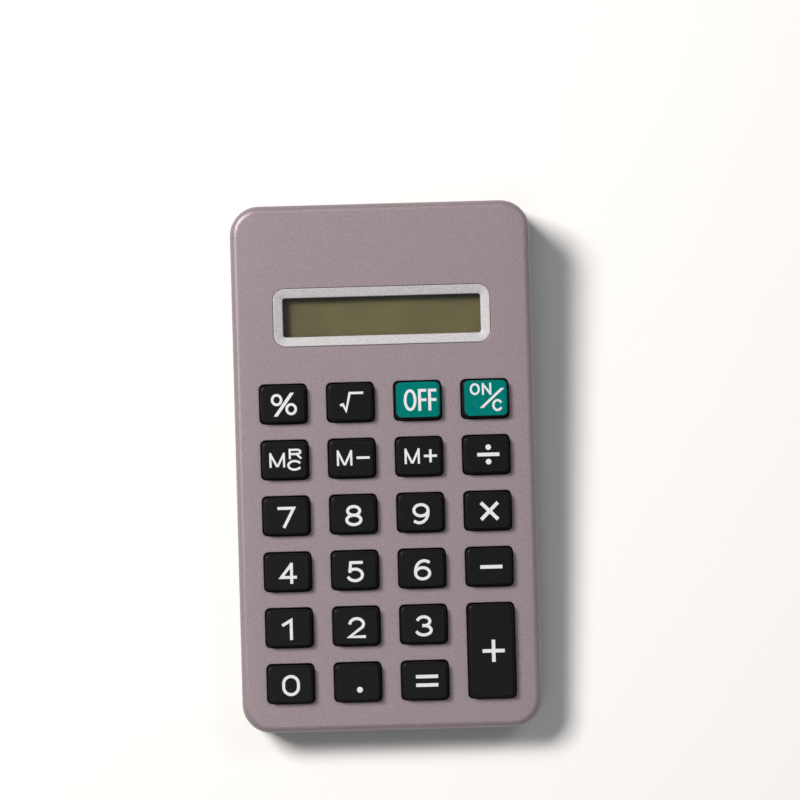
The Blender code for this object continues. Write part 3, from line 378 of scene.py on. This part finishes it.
low, high = box_on_face("display_bezel", TO_FACE)
window_centre = (low + high) / 2
size = high - low + 2 * Vector((BEZEL_FIT, BEZEL_FIT, 0.0))
shape = slab(size.x, size.y, BEZEL_SEAT, high.z, BEZEL_CORNER, BEZEL_CORNER_STEPS, window_centre.xy)
top = level_face(shape, high.z)
step_in(shape, top, BEZEL_OUTER_EDGE)
step_in(shape, top, BEZEL_BAR + BEZEL_FIT - BEZEL_OUTER_EDGE)
bmesh.ops.translate(shape, verts=top.verts, vec=(0, 0, -BEZEL_DISH))
under = level_face(shape, BEZEL_SEAT)
step_in(shape, under, BEZEL_BAR + BEZEL_FIT - BEZEL_SPIGOT)
collar = push(shape, under, low.z - BEZEL_SEAT)
step_in(shape, collar, BEZEL_SPIGOT)
opening = list(top.edges) + list(collar.edges)
bmesh.ops.delete(shape, geom=[top, collar], context="FACES_ONLY")
bmesh.ops.bridge_loops(shape, edges=opening)
soften(shape, rim_edges(shape, high.z), BEZEL_OUTER_ROUND, 3)
soften(shape, rim_edges(shape, high.z - BEZEL_DISH), BEZEL_INNER_ROUND, 3)
bmesh.ops.transform(shape, verts=shape.verts, matrix=FACE)
# The paint's coarse flakes glitter. They are drawn at 0.3 mm, several times their size, to show at all.
bright_paint, shader = surface("bright_silver_flake_paint", Roughness=0.58, Metallic=0.25)
speckle(bright_paint, shader, 0.3 * MM, "#a9a7ab", "#c7c5c9", 0.012 * MM, 0.4 * MM)
finish_piece(
    "display_bezel_painted",
    shape,
    bright_paint,
    "case",
    ["display_bezel"],
    sharp=30,
)

# ------------------------------------------------------------------ display
# Clear cast acrylic under the bezel, over a twisted-nematic glass cell with its foil, held on the board
# by a plastic frame. With the power off the cell is an even olive.


def dress(material, *nodes):
    """Gives CAD nodes that keep their own shape a material."""
    for name in nodes:
        mesh = frame["nodes"][name].data
        mesh.materials.clear()
        mesh.materials.append(material)


# Polished, so it is clear and only catches a highlight.
acrylic, shader = surface("polished_clear_acrylic", Roughness=0.03, IOR=1.49)
speckle(acrylic, shader, 12 * MM, "#f2f5f0", "#f6f9f4", 0.0002 * MM, 2.0 * MM, detail=0.0)
shader.inputs["Transmission Weight"].default_value = 1.0
dress(acrylic, "display_lens")
frame["nodes"]["display_lens"].visible_shadow = False  # clear plastic lets the light through

# A smooth film on the glass, with a low sheen and no grain that the eye could see.
polariser, shader = surface("polarised_display_glass", Roughness=0.22, IOR=1.5)
speckle(polariser, shader, 9 * MM, "#423d28", "#47422b", 0.001 * MM, 0.6 * MM, detail=0.0)
dress(polariser, "lcd_front_glass", "lcd_rear_glass")
# Brushed foil with an olive film on it, which scatters the light evenly.
foil, shader = surface("brushed_reflector_foil", Roughness=0.4, Metallic=1.0)
speckle(foil, shader, 0.3 * MM, "#74745a", "#83836a", 0.002 * MM, 0.1 * MM)
dress(foil, "lcd_reflector")
# Moulded and left as it comes: off-white and half matt.
plain_abs, shader = surface("natural_abs_moulding", Roughness=0.5)
speckle(plain_abs, shader, 0.6 * MM, "#cfcfc6", "#dadad2", 0.004 * MM, 0.3 * MM)
dress(plain_abs, "lcd_holder", "resistor")

# ------------------------------------------------------------------ keys
# Compression-moulded black silicone, each with a skirt under the face that stops it in its hole. Their
# sides lean in a little and bow outwards, and the tops have soft edges.
KEY_CORNER = 0.95 * MM
KEY_CORNER_STEPS = 6
KEY_DRAFT = 0.16 * MM
KEY_BOW = 0.11 * MM
BOW_CUTS = 7
LEAST_BOWED_SIDE = 3 * MM
KEY_EDGE = 0.5 * MM
KEY_EDGE_STEPS = 5
SKIRT_FLARE = 0.55 * MM
SKIRT_TOP = -2.1 * MM
SKIRT_WALL = 0.5 * MM
PILL_HEIGHT = 1.7 * MM
PILL_LIFT = 0.1 * MM  # how far the pill reaches below the skirt
PILL_WIDTH = 5.6 * MM
PRINT_THICKNESS = 0.02 * MM
FIELD_CORNER = 1.3 * MM
FIELD_DROP = 0.4 * MM  # how far the green print goes down a key's rounded edge
FIELD_STEPS = 24
FIELD_MARGINS = {  # black left beside the green print: left, right, lower and upper side
    "off": (0.45 * MM, 0.10 * MM, 0.62 * MM, 0.15 * MM),
    "on_clear": (0.65 * MM, 0.05 * MM, 0.55 * MM, 0.05 * MM),
}
KEYS = [name[4:] for name in frame["bodies"] if name.startswith("key_")]

# Moulded silicone is deep black with a weak, soft shine and a faint unevenness.
silicone, shader = surface("moulded_black_silicone", Roughness=0.36)
speckle(silicone, shader, 0.5 * MM, "#0b0b0e", "#101014", 0.010 * MM, 0.25 * MM)
shader.inputs["Specular IOR Level"].default_value = 0.14
# Silicone ink covers fully and is almost without shine.
green_ink, shader = surface("green_silicone_pad_print", Roughness=0.36)
speckle(green_ink, shader, 0.8 * MM, "#006b65", "#007670", 0.004 * MM, 0.25 * MM)
shader.inputs["Specular IOR Level"].default_value = 0.03


def cut_print(key, half_x, half_y, top, margins):
    """The part of a key's skin that carries solid colour, as a thin layer on top of it."""
    layer = key.copy()
    left, right, lower, upper = margins
    middle = Vector(((left - right) / 2, (lower - upper) / 2, 0.0))
    reach_x = half_x - (left + right) / 2 - FIELD_CORNER
    reach_y = half_y - (lower + upper) / 2 - FIELD_CORNER
    cuts = [(Vector((0, 0, top - FIELD_DROP)), Vector((0, 0, -1)))]
    for step in range(FIELD_STEPS):
        angle = 2 * math.pi * step / FIELD_STEPS
        out = Vector((math.cos(angle), math.sin(angle), 0.0))
        corner = Vector((math.copysign(reach_x, out.x), math.copysign(reach_y, out.y), 0.0))
        cuts.append((middle + corner + out * FIELD_CORNER, out))
    for place, out in cuts:
        everything = [*layer.verts, *layer.edges, *layer.faces]
        bmesh.ops.bisect_plane(
            layer, geom=everything, plane_co=place, plane_no=out, clear_outer=True
        )
    layer.normal_update()
    for vert, normal in [(v, v.normal.copy()) for v in layer.verts]:
        vert.co += normal * PRINT_THICKNESS
    bmesh.ops.solidify(layer, geom=layer.faces, thickness=PRINT_THICKNESS)
    bmesh.ops.recalc_face_normals(layer, faces=layer.faces)
    return layer


def bow(shape, half_x, half_y, amount):
    """Pushes the sides of a block outwards, most at their middles."""
    for vert in shape.verts:
        x, y = vert.co.x / half_x, vert.co.y / half_y
        vert.co.x += amount * x * (1 - min(y * y, 1))
        vert.co.y += amount * y * (1 - min(x * x, 1))


for name in KEYS:
    low, high = box_on_face(f"key_{name}", TO_FACE)
    centre = (low + high) / 2
    width, length = [high[i] - low[i] - 2 * SKIRT_FLARE for i in (0, 1)]
    straight = (width - 2 * KEY_BOW, length - 2 * KEY_BOW)
    shape = slab(*straight, SKIRT_TOP, high.z, KEY_CORNER, KEY_CORNER_STEPS)
    sides = [
        e
        for e in shape.edges
        if abs(e.verts[0].co.z - e.verts[1].co.z) < SAME_HEIGHT
        and e.calc_length() > LEAST_BOWED_SIDE
    ]
    bmesh.ops.subdivide_edges(shape, edges=sides, cuts=BOW_CUTS, use_grid_fill=True)
    shape.normal_update()
    bow(shape, width / 2, length / 2, KEY_BOW)
    for vert in shape.verts:
        if vert.co.z > 0:
            vert.co.x -= KEY_DRAFT * vert.co.x / (width / 2)
            vert.co.y -= KEY_DRAFT * vert.co.y / (length / 2)
    soften(shape, rim_edges(shape, high.z), KEY_EDGE, KEY_EDGE_STEPS)
    on_key = FACE @ Matrix.Translation((centre.x, centre.y, 0))
    if name in FIELD_MARGINS:
        layer = cut_print(shape, width / 2, length / 2, high.z, FIELD_MARGINS[name])
        bmesh.ops.transform(layer, verts=layer.verts, matrix=on_key)
        finish_piece(f"key_{name}_print", layer, green_ink, f"key_{name}")
    under = [f for f in shape.faces if f.normal.z < -0.9]
    if len(under) > 1:
        under = bmesh.ops.dissolve_faces(shape, faces=under)["region"]
    face = push(shape, under[0], 0.0, SKIRT_FLARE)
    face = push(shape, face, low.z + PILL_LIFT - SKIRT_TOP)
    face = push(shape, face, 0.0, -SKIRT_WALL)
    face = push(shape, face, PILL_HEIGHT)
    face = push(shape, face, 0.0, -(width - PILL_WIDTH) / 2)
    push(shape, face, -PILL_HEIGHT - PILL_LIFT)
    bmesh.ops.transform(shape, verts=shape.verts, matrix=on_key)
    finish_piece(f"key_{name}_rubber", shape, silicone, f"key_{name}", [f"key_{name}"])

# ------------------------------------------------------------------ legends
# Numbers and functions in white silicone ink, pad-printed on the keys in an even stroke. The ink lies
# on the rubber as a thin, slightly raised layer.
white_ink, shader = surface("white_pad_print", Roughness=0.45)
speckle(white_ink, shader, 0.4 * MM, "#d4d4d9", "#dedee3", 0.003 * MM, 0.2 * MM)
ARC_STEP = 12  # degrees
SHARPEST_MITRE = 0.45  # a mitre reaches out to at most one over this


def arc(x, y, radius_x, radius_y, start, end):
    """Points on an ellipse from one angle to another, in degrees."""
    count = max(2, int(abs(end - start) / ARC_STEP))
    angles = [math.radians(start + (end - start) * i / count) for i in range(count + 1)]
    return [(x + radius_x * math.cos(a), y + radius_y * math.sin(a)) for a in angles]


def ring(x, y, radius_x, radius_y):
    return arc(x, y, radius_x, radius_y, 0, 360)


# Each character is a list of strokes in a unit square that the stroke's middle line fills. A closed
# stroke ends where it starts, and a long one is let run half a stroke's width past each of its ends.
STEM, FAR_STEM, BAR = [(0, 0), (0, 1)], [(1, 0), (1, 1)], [(0, 1), (1, 1)]
CHARACTERS = {
    "0": [arc(0.5, 0.6, 0.5, 0.4, 0, 180) + arc(0.5, 0.4, 0.5, 0.4, 180, 360) + [(1, 0.6)]],
    "1": [[(0.1, 0.76), (0.62, 1), (0.62, 0)]],
    "2": [arc(0.5, 0.7, 0.46, 0.3, 168, -38) + [(0, 0), (1, 0)]],
    "3": [arc(0.48, 0.755, 0.42, 0.245, 155, -90), arc(0.48, 0.26, 0.5, 0.26, 90, -155)],
    "4": [[(0.74, 1), (0.74, 0)], [(1.1, 0.28), (0.04, 0.28), (0.74, 1)]],
    "5": [[(0.92, 1), (0.2, 1), (0.14, 0.52)], arc(0.48, 0.32, 0.5, 0.32, 132, -150)],
    "6": [ring(0.5, 0.31, 0.48, 0.31), arc(0.62, 0.42, 0.6, 0.58, 62, 190)],
    "7": [[(0, 1), (1, 1), (0.36, 0)]],
    "8": [ring(0.5, 0.76, 0.41, 0.24), ring(0.5, 0.26, 0.48, 0.26)],
    "9": [ring(0.5, 0.69, 0.48, 0.31), arc(0.38, 0.58, 0.6, 0.58, 242, 370)],
    "M": [STEM, FAR_STEM, [(0, 1), (0.46, 0.03), (0.54, 0.03), (1, 1)]],
    "N": [STEM, FAR_STEM, [(0, 1), (1, 0)]],
    "R": [
        STEM,
        [(0, 1), (0.6, 1)] + arc(0.66, 0.74, 0.34, 0.26, 78, -78) + [(0.6, 0.48), (0, 0.48)],
        [(0.62, 0.48), (1, 0)],
    ],
    "C": [arc(0.5, 0.5, 0.5, 0.5, 40, 320)],
    "O": [ring(0.5, 0.5, 0.5, 0.5)],
    "F": [STEM, BAR, [(0, 0.5), (1, 0.5)]],
    "+": [[(0, 0.5), (1, 0.5)], [(0.5, 0), (0.5, 1)]],
    "-": [[(0, 0.5), (1, 0.5)]],
    "x": [[(0, 0), (1, 1)], [(0, 1), (1, 0)]],
}
LONG_ENDS = {"M": 2, "N": 2, "4": 1}  # only this many of a character's strokes run past their ends


def add_stroke(shape, points, width, height, run_past=0.0):
    """A printed line along points, with mitred corners, as a thin closed solid.

    Its ends are square and run past its points, or are cut level where run_past is below zero.
    """
    points = [Vector(p) for p in points]
    closed = len(points) > 3 and (points[0] - points[-1]).length < width / 10
    if closed:
        points.pop()
    elif run_past > 0:
        points[0] += (points[0] - points[1]).normalized() * run_past
        points[-1] += (points[-1] - points[-2]).normalized() * run_past
    sides = []
    for i, point in enumerate(points):
        before = points[i - 1] if closed or i else None
        after = points[(i + 1) % len(points)] if closed or i < len(points) - 1 else None
        into = (point - before).normalized() if before else (after - point).normalized()
        out = (after - point).normalized() if after else into
        at_end = before is None or after is None
        across = (into + out).normalized().orthogonal()
        if run_past < 0 and at_end:
            across = Vector((-1, 0))
        reach = width / 2 / max(abs(across.dot(into.orthogonal())), SHARPEST_MITRE)
        sides.append((point + across * reach, point - across * reach))
    rows = [[shape.verts.new((*p, z)) for p in (a, b) for z in (0, height)] for a, b in sides]
    if closed:
        rows.append(rows[0])
    for (a0, a1, b0, b1), (c0, c1, d0, d1) in zip(rows, rows[1:]):
        for corners in ((a1, b1, d1, c1), (a0, c0, d0, b0), (a0, a1, c1, c0), (b0, d0, d1, b1)):
            shape.faces.new(corners)
    if not closed:
        for a0, a1, b0, b1 in (rows[0], rows[-1]):
            shape.faces.new((a0, b0, b1, a1))


def character(mark, left, bottom, width, height, stroke):
    """A character's strokes in millimetres: points, width and how far it runs past its ends."""
    inner = (width - stroke, height - stroke)
    low = (left + stroke / 2, bottom + stroke / 2)
    strokes = []
    for number, path in enumerate(CHARACTERS[mark]):
        points = [(low[0] + x * inner[0], low[1] + y * inner[1]) for x, y in path]
        strokes.append((points, stroke, stroke / 2 if number < LONG_ENDS.get(mark, 9) else 0.0))
    return strokes


def dot(x, y, radius):
    """A round spot, drawn as a ring whose stroke closes its middle."""
    return [(ring(x, y, radius / 2, radius / 2), radius * 0.98, 0.0)]


CUT_LEVEL = -1.0  # marks a stroke whose ends are cut level


def line(x_from, y_from, x_to, y_to, stroke, ends=0.0):
    return [([(x_from, y_from), (x_to, y_to)], stroke, ends)]


DIGIT = (-1.9, -2.6, 3.95, 4.7, 0.66)  # left, bottom, width, height and stroke in millimetres
LEGENDS = {
    "percent": [
        (ring(-1.42, 0.94, 1.0, 1.06), 0.58, 0.0),
        (ring(1.78, -1.16, 1.0, 1.06), 0.58, 0.0),
        *line(-1.72, -2.74, 2.06, 2.5, 0.72, CUT_LEVEL),
    ],
    "root": [
        ([(-2.3, -0.66), (-1.66, -0.42), (-0.98, -1.85), (-0.12, 2.06), (2.92, 2.06)], 0.54, 0.0),
    ],
    "off": character("O", -3.1, -2.3, 2.85, 4.85, 0.62)
    + character("F", 0.12, -2.3, 1.85, 4.85, 0.64)
    + character("F", 2.36, -2.3, 1.85, 4.85, 0.64),
    "on_clear": character("O", -3.32, 0.85, 2.25, 2.65, 0.46)
    + character("N", -0.62, 0.85, 2.1, 2.65, 0.44)
    + line(-0.8, -2.05, 4.0, 2.3, 0.54, CUT_LEVEL)
    + character("C", 1.6, -2.85, 2.35, 2.7, 0.5),
    "memory_recall": character("M", -3.4, -1.6, 3.5, 3.25, 0.47)
    + character("R", 0.95, 0.2, 2.85, 2.3, 0.47)
    + character("C", 0.55, -2.4, 3.3, 2.4, 0.5),
    "memory_minus": character("M", -3.35, -1.6, 3.45, 3.45, 0.48)
    + line(1.05, 0.1, 3.98, 0.1, 0.56),
    "memory_plus": character("M", -3.25, -1.6, 3.4, 3.45, 0.48)
    + character("+", 1.05, -1.35, 2.95, 2.9, 0.56),
    "divide": line(-2.05, 0.05, 2.9, 0.05, 0.8) + dot(0.45, 1.68, 0.63) + dot(0.45, -1.56, 0.63),
    "multiply": character("x", -1.65, -2.05, 4.0, 4.0, 0.8),
    "minus": line(-2.05, 0.0, 2.9, 0.0, 0.8),
    "plus": character("+", -2.05, -2.45, 4.95, 4.95, 0.8),
    "equals": line(-2.05, 0.95, 2.9, 0.95, 0.78) + line(-2.05, -0.95, 2.9, -0.95, 0.78),
    "point": dot(0.4, -1.6, 0.66),
}
for digit in "0123456789":
    LEGENDS[digit] = character(digit, *DIGIT)


def combine(first, second, operation):
    """Joins one solid to another, or cuts it away, as one clean skin. Both may overlap themselves."""
    objects = []
    for part in (first, second):
        mesh = bpy.data.meshes.new("part")
        part.to_mesh(mesh)
        part.free()
        objects.append(bpy.data.objects.new("part", mesh))
        bpy.context.scene.collection.objects.link(objects[-1])
    join = objects[0].modifiers.new("join", "BOOLEAN")
    join.operation = operation
    join.object = objects[1]
    join.use_self = True
    shape = bmesh.new()
    bpy.context.view_layer.update()
    shape.from_object(objects[0], bpy.context.evaluated_depsgraph_get())
    for part in objects:
        bpy.data.objects.remove(part)
    return shape


for name in KEYS:
    low, high = box_on_face(f"key_{name}", TO_FACE)
    centre, top = (low + high) / 2, high.z
    on_key = FACE @ Matrix.Translation((centre.x, centre.y, top))
    under_print = 2 * PRINT_THICKNESS if name in FIELD_MARGINS else 0.0
    height = 2 * PRINT_THICKNESS + under_print
    parts = []
    for path, width, past in LEGENDS[name]:
        part = bmesh.new()
        add_stroke(part, [(x * MM, y * MM) for x, y in path], width * MM, height, past * MM)
        bmesh.ops.recalc_face_normals(part, faces=part.faces)
        parts.append(part)
    shape = parts[0]
    if len(parts) > 1:
        rest = bmesh.new()
        for part in parts[1:]:
            mesh = bpy.data.meshes.new("stroke")
            part.to_mesh(mesh)
            part.free()
            rest.from_mesh(mesh)
        shape = combine(shape, rest, "UNION")
    lift = Matrix.Translation((0, 0, -PRINT_THICKNESS))
    bmesh.ops.transform(shape, verts=shape.verts, matrix=on_key @ lift)
    finish_piece(
        f"key_{name}_legend", shape, white_ink, f"key_{name}", sharp=20, weighted=False
    )

# ------------------------------------------------------------------ screws
# Self-tapping screws of cold-headed steel, with a domed head, a punched cross recess and a rolled
# thread. Four hold the case together and five hold the board in the front shell.
HEAD_HEIGHT = {"case_screw": 1.1 * MM, "board_screw": 0.9 * MM}
SHANK_RADIUS = {"case_screw": 0.95 * MM, "board_screw": 0.7 * MM}
HEAD_DOME = ((0.0, 0.0), (0.3, 0.01), (0.55, 0.05), (0.76, 0.15), (0.92, 0.34), (1.0, 0.62))
THREAD_PITCH = 0.8 * MM
THREAD_DEPTH = 0.14 * MM
RECESS_REACH = 0.75  # half length of the cross at its mouth, as a share of the head's radius
RECESS_WIDTH = 0.2  # width of each arm at its mouth, as a share of the head's radius
RECESS_DEPTH = 0.62  # as a share of the head's height
RECESS_TAPER = 0.55  # width at the recess's bottom, as a share of that at its mouth
THREAD_TIP = 0.3  # radius of the tip, as a share of the shank's
TURNED_STEPS = 32


def turned(profile, steps=TURNED_STEPS):
    """A solid turned about z from radius and height pairs that start and end on the axis."""
    made = bmesh.new()
    verts = [made.verts.new((radius, 0.0, height)) for radius, height in profile]
    edges = [made.edges.new(pair) for pair in zip(verts, verts[1:])]
    bmesh.ops.spin(
        made,
        geom=verts + edges,
        cent=(0, 0, 0),
        axis=(0, 0, 1),
        angle=math.tau,
        steps=steps,
        use_merge=True,
    )
    bmesh.ops.remove_doubles(made, verts=made.verts, dist=WELD)
    bmesh.ops.recalc_face_normals(made, faces=made.faces)
    return made


# Nickel plating is bright, with the faint marks of tumbling.
steel, shader = surface("nickel_plated_steel", Roughness=0.28, Metallic=1.0)
speckle(steel, shader, 0.3 * MM, "#bdbcb8", "#c9c8c4", 0.002 * MM, 0.2 * MM)
for name in [name for name in frame["nodes"] if "screw" in name]:
    low, high = box_on_face(name, TO_FACE)
    kind = name[: name.rindex("_")]
    head, shank = HEAD_HEIGHT[kind], SHANK_RADIUS[kind]
    radius = (high.x - low.x) / 2
    profile = [(share * radius, rise * head) for share, rise in HEAD_DOME]
    profile += [(radius, head), (shank, head)]
    height = head + THREAD_PITCH / 2
    while height < high.z - low.z - 2 * shank:
        profile += [(shank - THREAD_DEPTH, height), (shank, height + THREAD_PITCH / 2)]
        height += THREAD_PITCH
    profile += [(shank * THREAD_TIP, high.z - low.z), (0.0, high.z - low.z)]
    shape = turned(profile)
    cross = bmesh.new()
    for reach_x, reach_y in ((RECESS_REACH, RECESS_WIDTH / 2), (RECESS_WIDTH / 2, RECESS_REACH)):
        made = bmesh.ops.create_cube(cross, size=2.0)["verts"]
        for vert in made:
            taper = 1.0 if vert.co.z < 0 else RECESS_TAPER
            vert.co.x *= reach_x * radius * taper
            vert.co.y *= reach_y * radius * taper
            vert.co.z = RECESS_DEPTH * head if vert.co.z > 0 else -0.5 * head
    shape = combine(shape, cross, "DIFFERENCE")
    place = Matrix.Translation(((low.x + high.x) / 2, (low.y + high.y) / 2, low.z))
    bmesh.ops.transform(shape, verts=shape.verts, matrix=FACE @ place)
    finish_piece(f"{name}_cross_head", shape, steel, "case", [name], weighted=False)
dress(steel, "battery_negative_spring", "battery_negative_plate", "battery_positive_contact")

# ------------------------------------------------------------------ feet
# Moulded black rubber with a soft lower edge and a shallow dish, glued into recesses in the rear shell,
# so that the calculator doesn't slide.
FOOT_EDGE = 0.28 * MM
FOOT_DISH = 0.12 * MM
FOOT_STEPS = 4  # in the rounded edge
FOOT_SEGMENTS = 48
for name in [name for name in frame["nodes"] if name.startswith("foot_")]:
    low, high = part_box(name)
    radius = (high.x - low.x) / 2
    profile = [(0.0, low.z + FOOT_DISH), (radius * 0.55, low.z + FOOT_DISH * 0.8)]
    profile.append((radius * 0.75, low.z))
    for step in range(FOOT_STEPS + 1):
        angle = math.radians(90 * step / FOOT_STEPS)
        profile.append(
            (
                radius - FOOT_EDGE * (1 - math.sin(angle)),
                low.z + FOOT_EDGE * (1 - math.cos(angle)),
            )
        )
    profile += [(radius, high.z), (0.0, high.z)]
    shape = turned(profile, FOOT_SEGMENTS)
    bmesh.ops.translate(
        shape, verts=shape.verts, vec=((low.x + high.x) / 2, (low.y + high.y) / 2, 0.0)
    )
    finish_piece(f"{name}_rubber", shape, silicone, "case", [name])

# ------------------------------------------------------------------ cell
# An AA cell: a steel can with a pressed terminal at one end, in a shrunk plastic jacket with a plain
# coloured band at the positive end.
CAN_INSET = 0.35 * MM
NUB_LENGTH = 1.4 * MM
NUB_RADIUS = 2.75 * MM
BAND_LENGTH = 14.0 * MM
JACKET_EDGE = 0.5 * MM
JACKET_OPENING = 0.72  # as a share of the cell's radius
CAN_EDGE = 0.3 * MM
JACKET_SEGMENTS = 64
CAN_SEGMENTS = 48
low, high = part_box("battery_cell")
radius = (high.z - low.z) / 2
end = high.x - NUB_LENGTH
along = Matrix.Translation((0, (low.y + high.y) / 2, (low.z + high.z) / 2)) @ Matrix.Rotation(
    math.radians(90), 4, "Y"
)
# Shrunk film is glossy and evenly coloured, here green with a plain pale band.
jacket, shader = surface("shrunk_printed_cell_jacket", Roughness=0.3)
speckle(jacket, shader, 2.0 * MM, "#23543a", "#286043", 0.002 * MM, 0.3 * MM)
tones = shader.inputs["Base Color"].links[0].from_socket
place = node(jacket, "ShaderNodeTexCoord").outputs["Object"]
across = node(jacket, "ShaderNodeSeparateXYZ", {}, Vector=place).outputs["X"]
band = node(jacket, "ShaderNodeMath", {"operation": "GREATER_THAN"})
band.inputs[1].default_value = end - BAND_LENGTH
wire(jacket, across, band.inputs[0])
mix = node(
    jacket,
    "ShaderNodeMixRGB",
    {"Color2": linear("#b9b4a4")},
    Fac=band.outputs[0],
    Color1=tones,
)
wire(jacket, mix.outputs[0], shader.inputs["Base Color"])
profile = [
    (0.0, low.x + CAN_INSET),
    (radius * JACKET_OPENING, low.x + CAN_INSET),
    (radius - JACKET_EDGE, low.x),
    (radius, low.x + JACKET_EDGE),
    (radius, end - JACKET_EDGE),
    (radius - JACKET_EDGE, end),
    (radius * JACKET_OPENING, end - CAN_INSET),
    (0.0, end - CAN_INSET),
]
shape = turned(profile, JACKET_SEGMENTS)
bmesh.ops.transform(shape, verts=shape.verts, matrix=along)
finish_piece("battery_cell_jacket", shape, jacket, "case", ["battery_cell"])
can = [
    (0.0, low.x + 0.05 * MM),
    (radius * 0.6, low.x + 0.05 * MM),
    (radius * 0.66, low.x + CAN_INSET * 1.5),
    (radius * 0.7, end - CAN_INSET * 1.5),
    (radius * 0.66, end - 0.1 * MM),
    (NUB_RADIUS + CAN_EDGE, end),
    (NUB_RADIUS, end + CAN_EDGE),
    (NUB_RADIUS, high.x - CAN_EDGE),
    (NUB_RADIUS - CAN_EDGE, high.x),
    (0.0, high.x),
]
shape = turned(can, CAN_SEGMENTS)
bmesh.ops.transform(shape, verts=shape.verts, matrix=along)
finish_piece("battery_cell_can", shape, steel, "case")

# ------------------------------------------------------------------ mat, board and wiring
# A silicone mat lies on the board round the keys. The board carries the chip, a capacitor and a
# resistor. Two leads bring the cell's current, and a rubber strip joins the board to the display.
dress(silicone, "keypad_mat")
# Paper and phenolic resin, pressed: brown, with a faintly mottled, half matt surface.
board, shader = surface("paper_phenolic_board", Roughness=0.5)
speckle(board, shader, 1.2 * MM, "#8c6a3c", "#9c7a4a", 0.003 * MM, 0.4 * MM)
dress(board, "circuit_board")
# Resin cast over the chip sets as a smooth, glossy black drop.
resin, shader = surface("cast_black_epoxy", Roughness=0.25)
speckle(resin, shader, 1.0 * MM, "#121212", "#1a1a1a", 0.005 * MM, 0.8 * MM)
dress(resin, "chip_glob_top")
# Extruded PVC is smooth with a soft shine, in two colours.
sleeve, shader = surface("black_pvc_sleeve", Roughness=0.4)
speckle(sleeve, shader, 0.8 * MM, "#141416", "#1b1b1e", 0.002 * MM, 0.3 * MM)
dress(sleeve, "capacitor", "lead_black")
red_sleeve, shader = surface("red_pvc_sleeve", Roughness=0.4)
speckle(red_sleeve, shader, 0.8 * MM, "#b3170f", "#c01f16", 0.002 * MM, 0.3 * MM)
dress(red_sleeve, "lead_red")
# Rubber filled with carbon is dull and dark grey.
carbon, shader = surface("carbon_loaded_rubber", Roughness=0.7)
speckle(carbon, shader, 0.5 * MM, "#202020", "#2b2b2b", 0.004 * MM, 0.2 * MM)
dress(carbon, "zebra_connector")

# ------------------------------------------------------------------ stage, light and camera
# A pale floor under one large soft light from the upper left and two weak ones that lift its shadows.
# The camera looks square on to the face from 0.9 m, a little off its middle.
VIEW_WIDTH = 178.72 * MM  # width of the picture at the face
AIM = Vector((3.58 * MM, 14.8 * MM, 0.0))  # the face's point in the middle of the picture
ROLL = math.radians(1.56)
DISTANCE = 0.9
SENSOR = 36.0
FLOOR_REACH = 3.0
camera = bpy.data.objects.new("camera", bpy.data.cameras.new("camera"))
bpy.context.scene.collection.objects.link(camera)
camera.data.sensor_width = SENSOR
camera.data.lens = SENSOR * DISTANCE / VIEW_WIDTH
camera.data.clip_start = 0.05
camera.matrix_world = (
    FACE @ Matrix.Translation((AIM.x, AIM.y, DISTANCE)) @ Matrix.Rotation(-ROLL, 4, "Z")
)
bpy.context.scene.camera = camera

floor_shape = bmesh.new()
bmesh.ops.create_grid(floor_shape, x_segments=1, y_segments=1, size=FLOOR_REACH)
floor_mesh = bpy.data.meshes.new("floor")
floor_shape.to_mesh(floor_mesh)
floor_shape.free()
floor = bpy.data.objects.new("floor", floor_mesh)
bpy.context.scene.collection.objects.link(floor)
# Matt white paper, without any shine.
pale, shader = surface("pale_floor", Base_Color=linear("#f3f3f3"), Roughness=0.9)
floor_mesh.materials.append(pale)


def softbox(name, place, width, length, power, colour="#ffffff"):
    """A rectangular studio light that faces the calculator. Sizes in metres, power in watts."""
    light = bpy.data.lights.new(name, "AREA")
    light.shape = "RECTANGLE"
    light.size, light.size_y = width, length
    light.energy = power
    light.color = linear(colour)[:3]
    lamp = bpy.data.objects.new(name, light)
    bpy.context.scene.collection.objects.link(lamp)
    lamp.location = place
    lamp.rotation_euler = (-Vector(place)).to_track_quat("-Z", "Y").to_euler()


softbox("upper_left_softbox", (-0.64, 0.42, 1.02), 0.40, 0.40, 18.7, "#fffaf4")
softbox("upper_right_softbox", (0.56, 0.42, 1.0), 0.36, 0.36, 1.5, "#f8faff")
softbox("low_front_softbox", (-0.10, -0.36, 1.1), 0.36, 0.36, 1.0, "#ffffff")
world = bpy.data.worlds.new("studio")
bpy.context.scene.world = world
world.use_nodes = True
world.node_tree.nodes["Background"].inputs["Color"].default_value = linear("#f2f4f7")
world.node_tree.nodes["Background"].inputs["Strength"].default_value = 0.13
bpy.context.scene.view_settings.view_transform = "Standard"
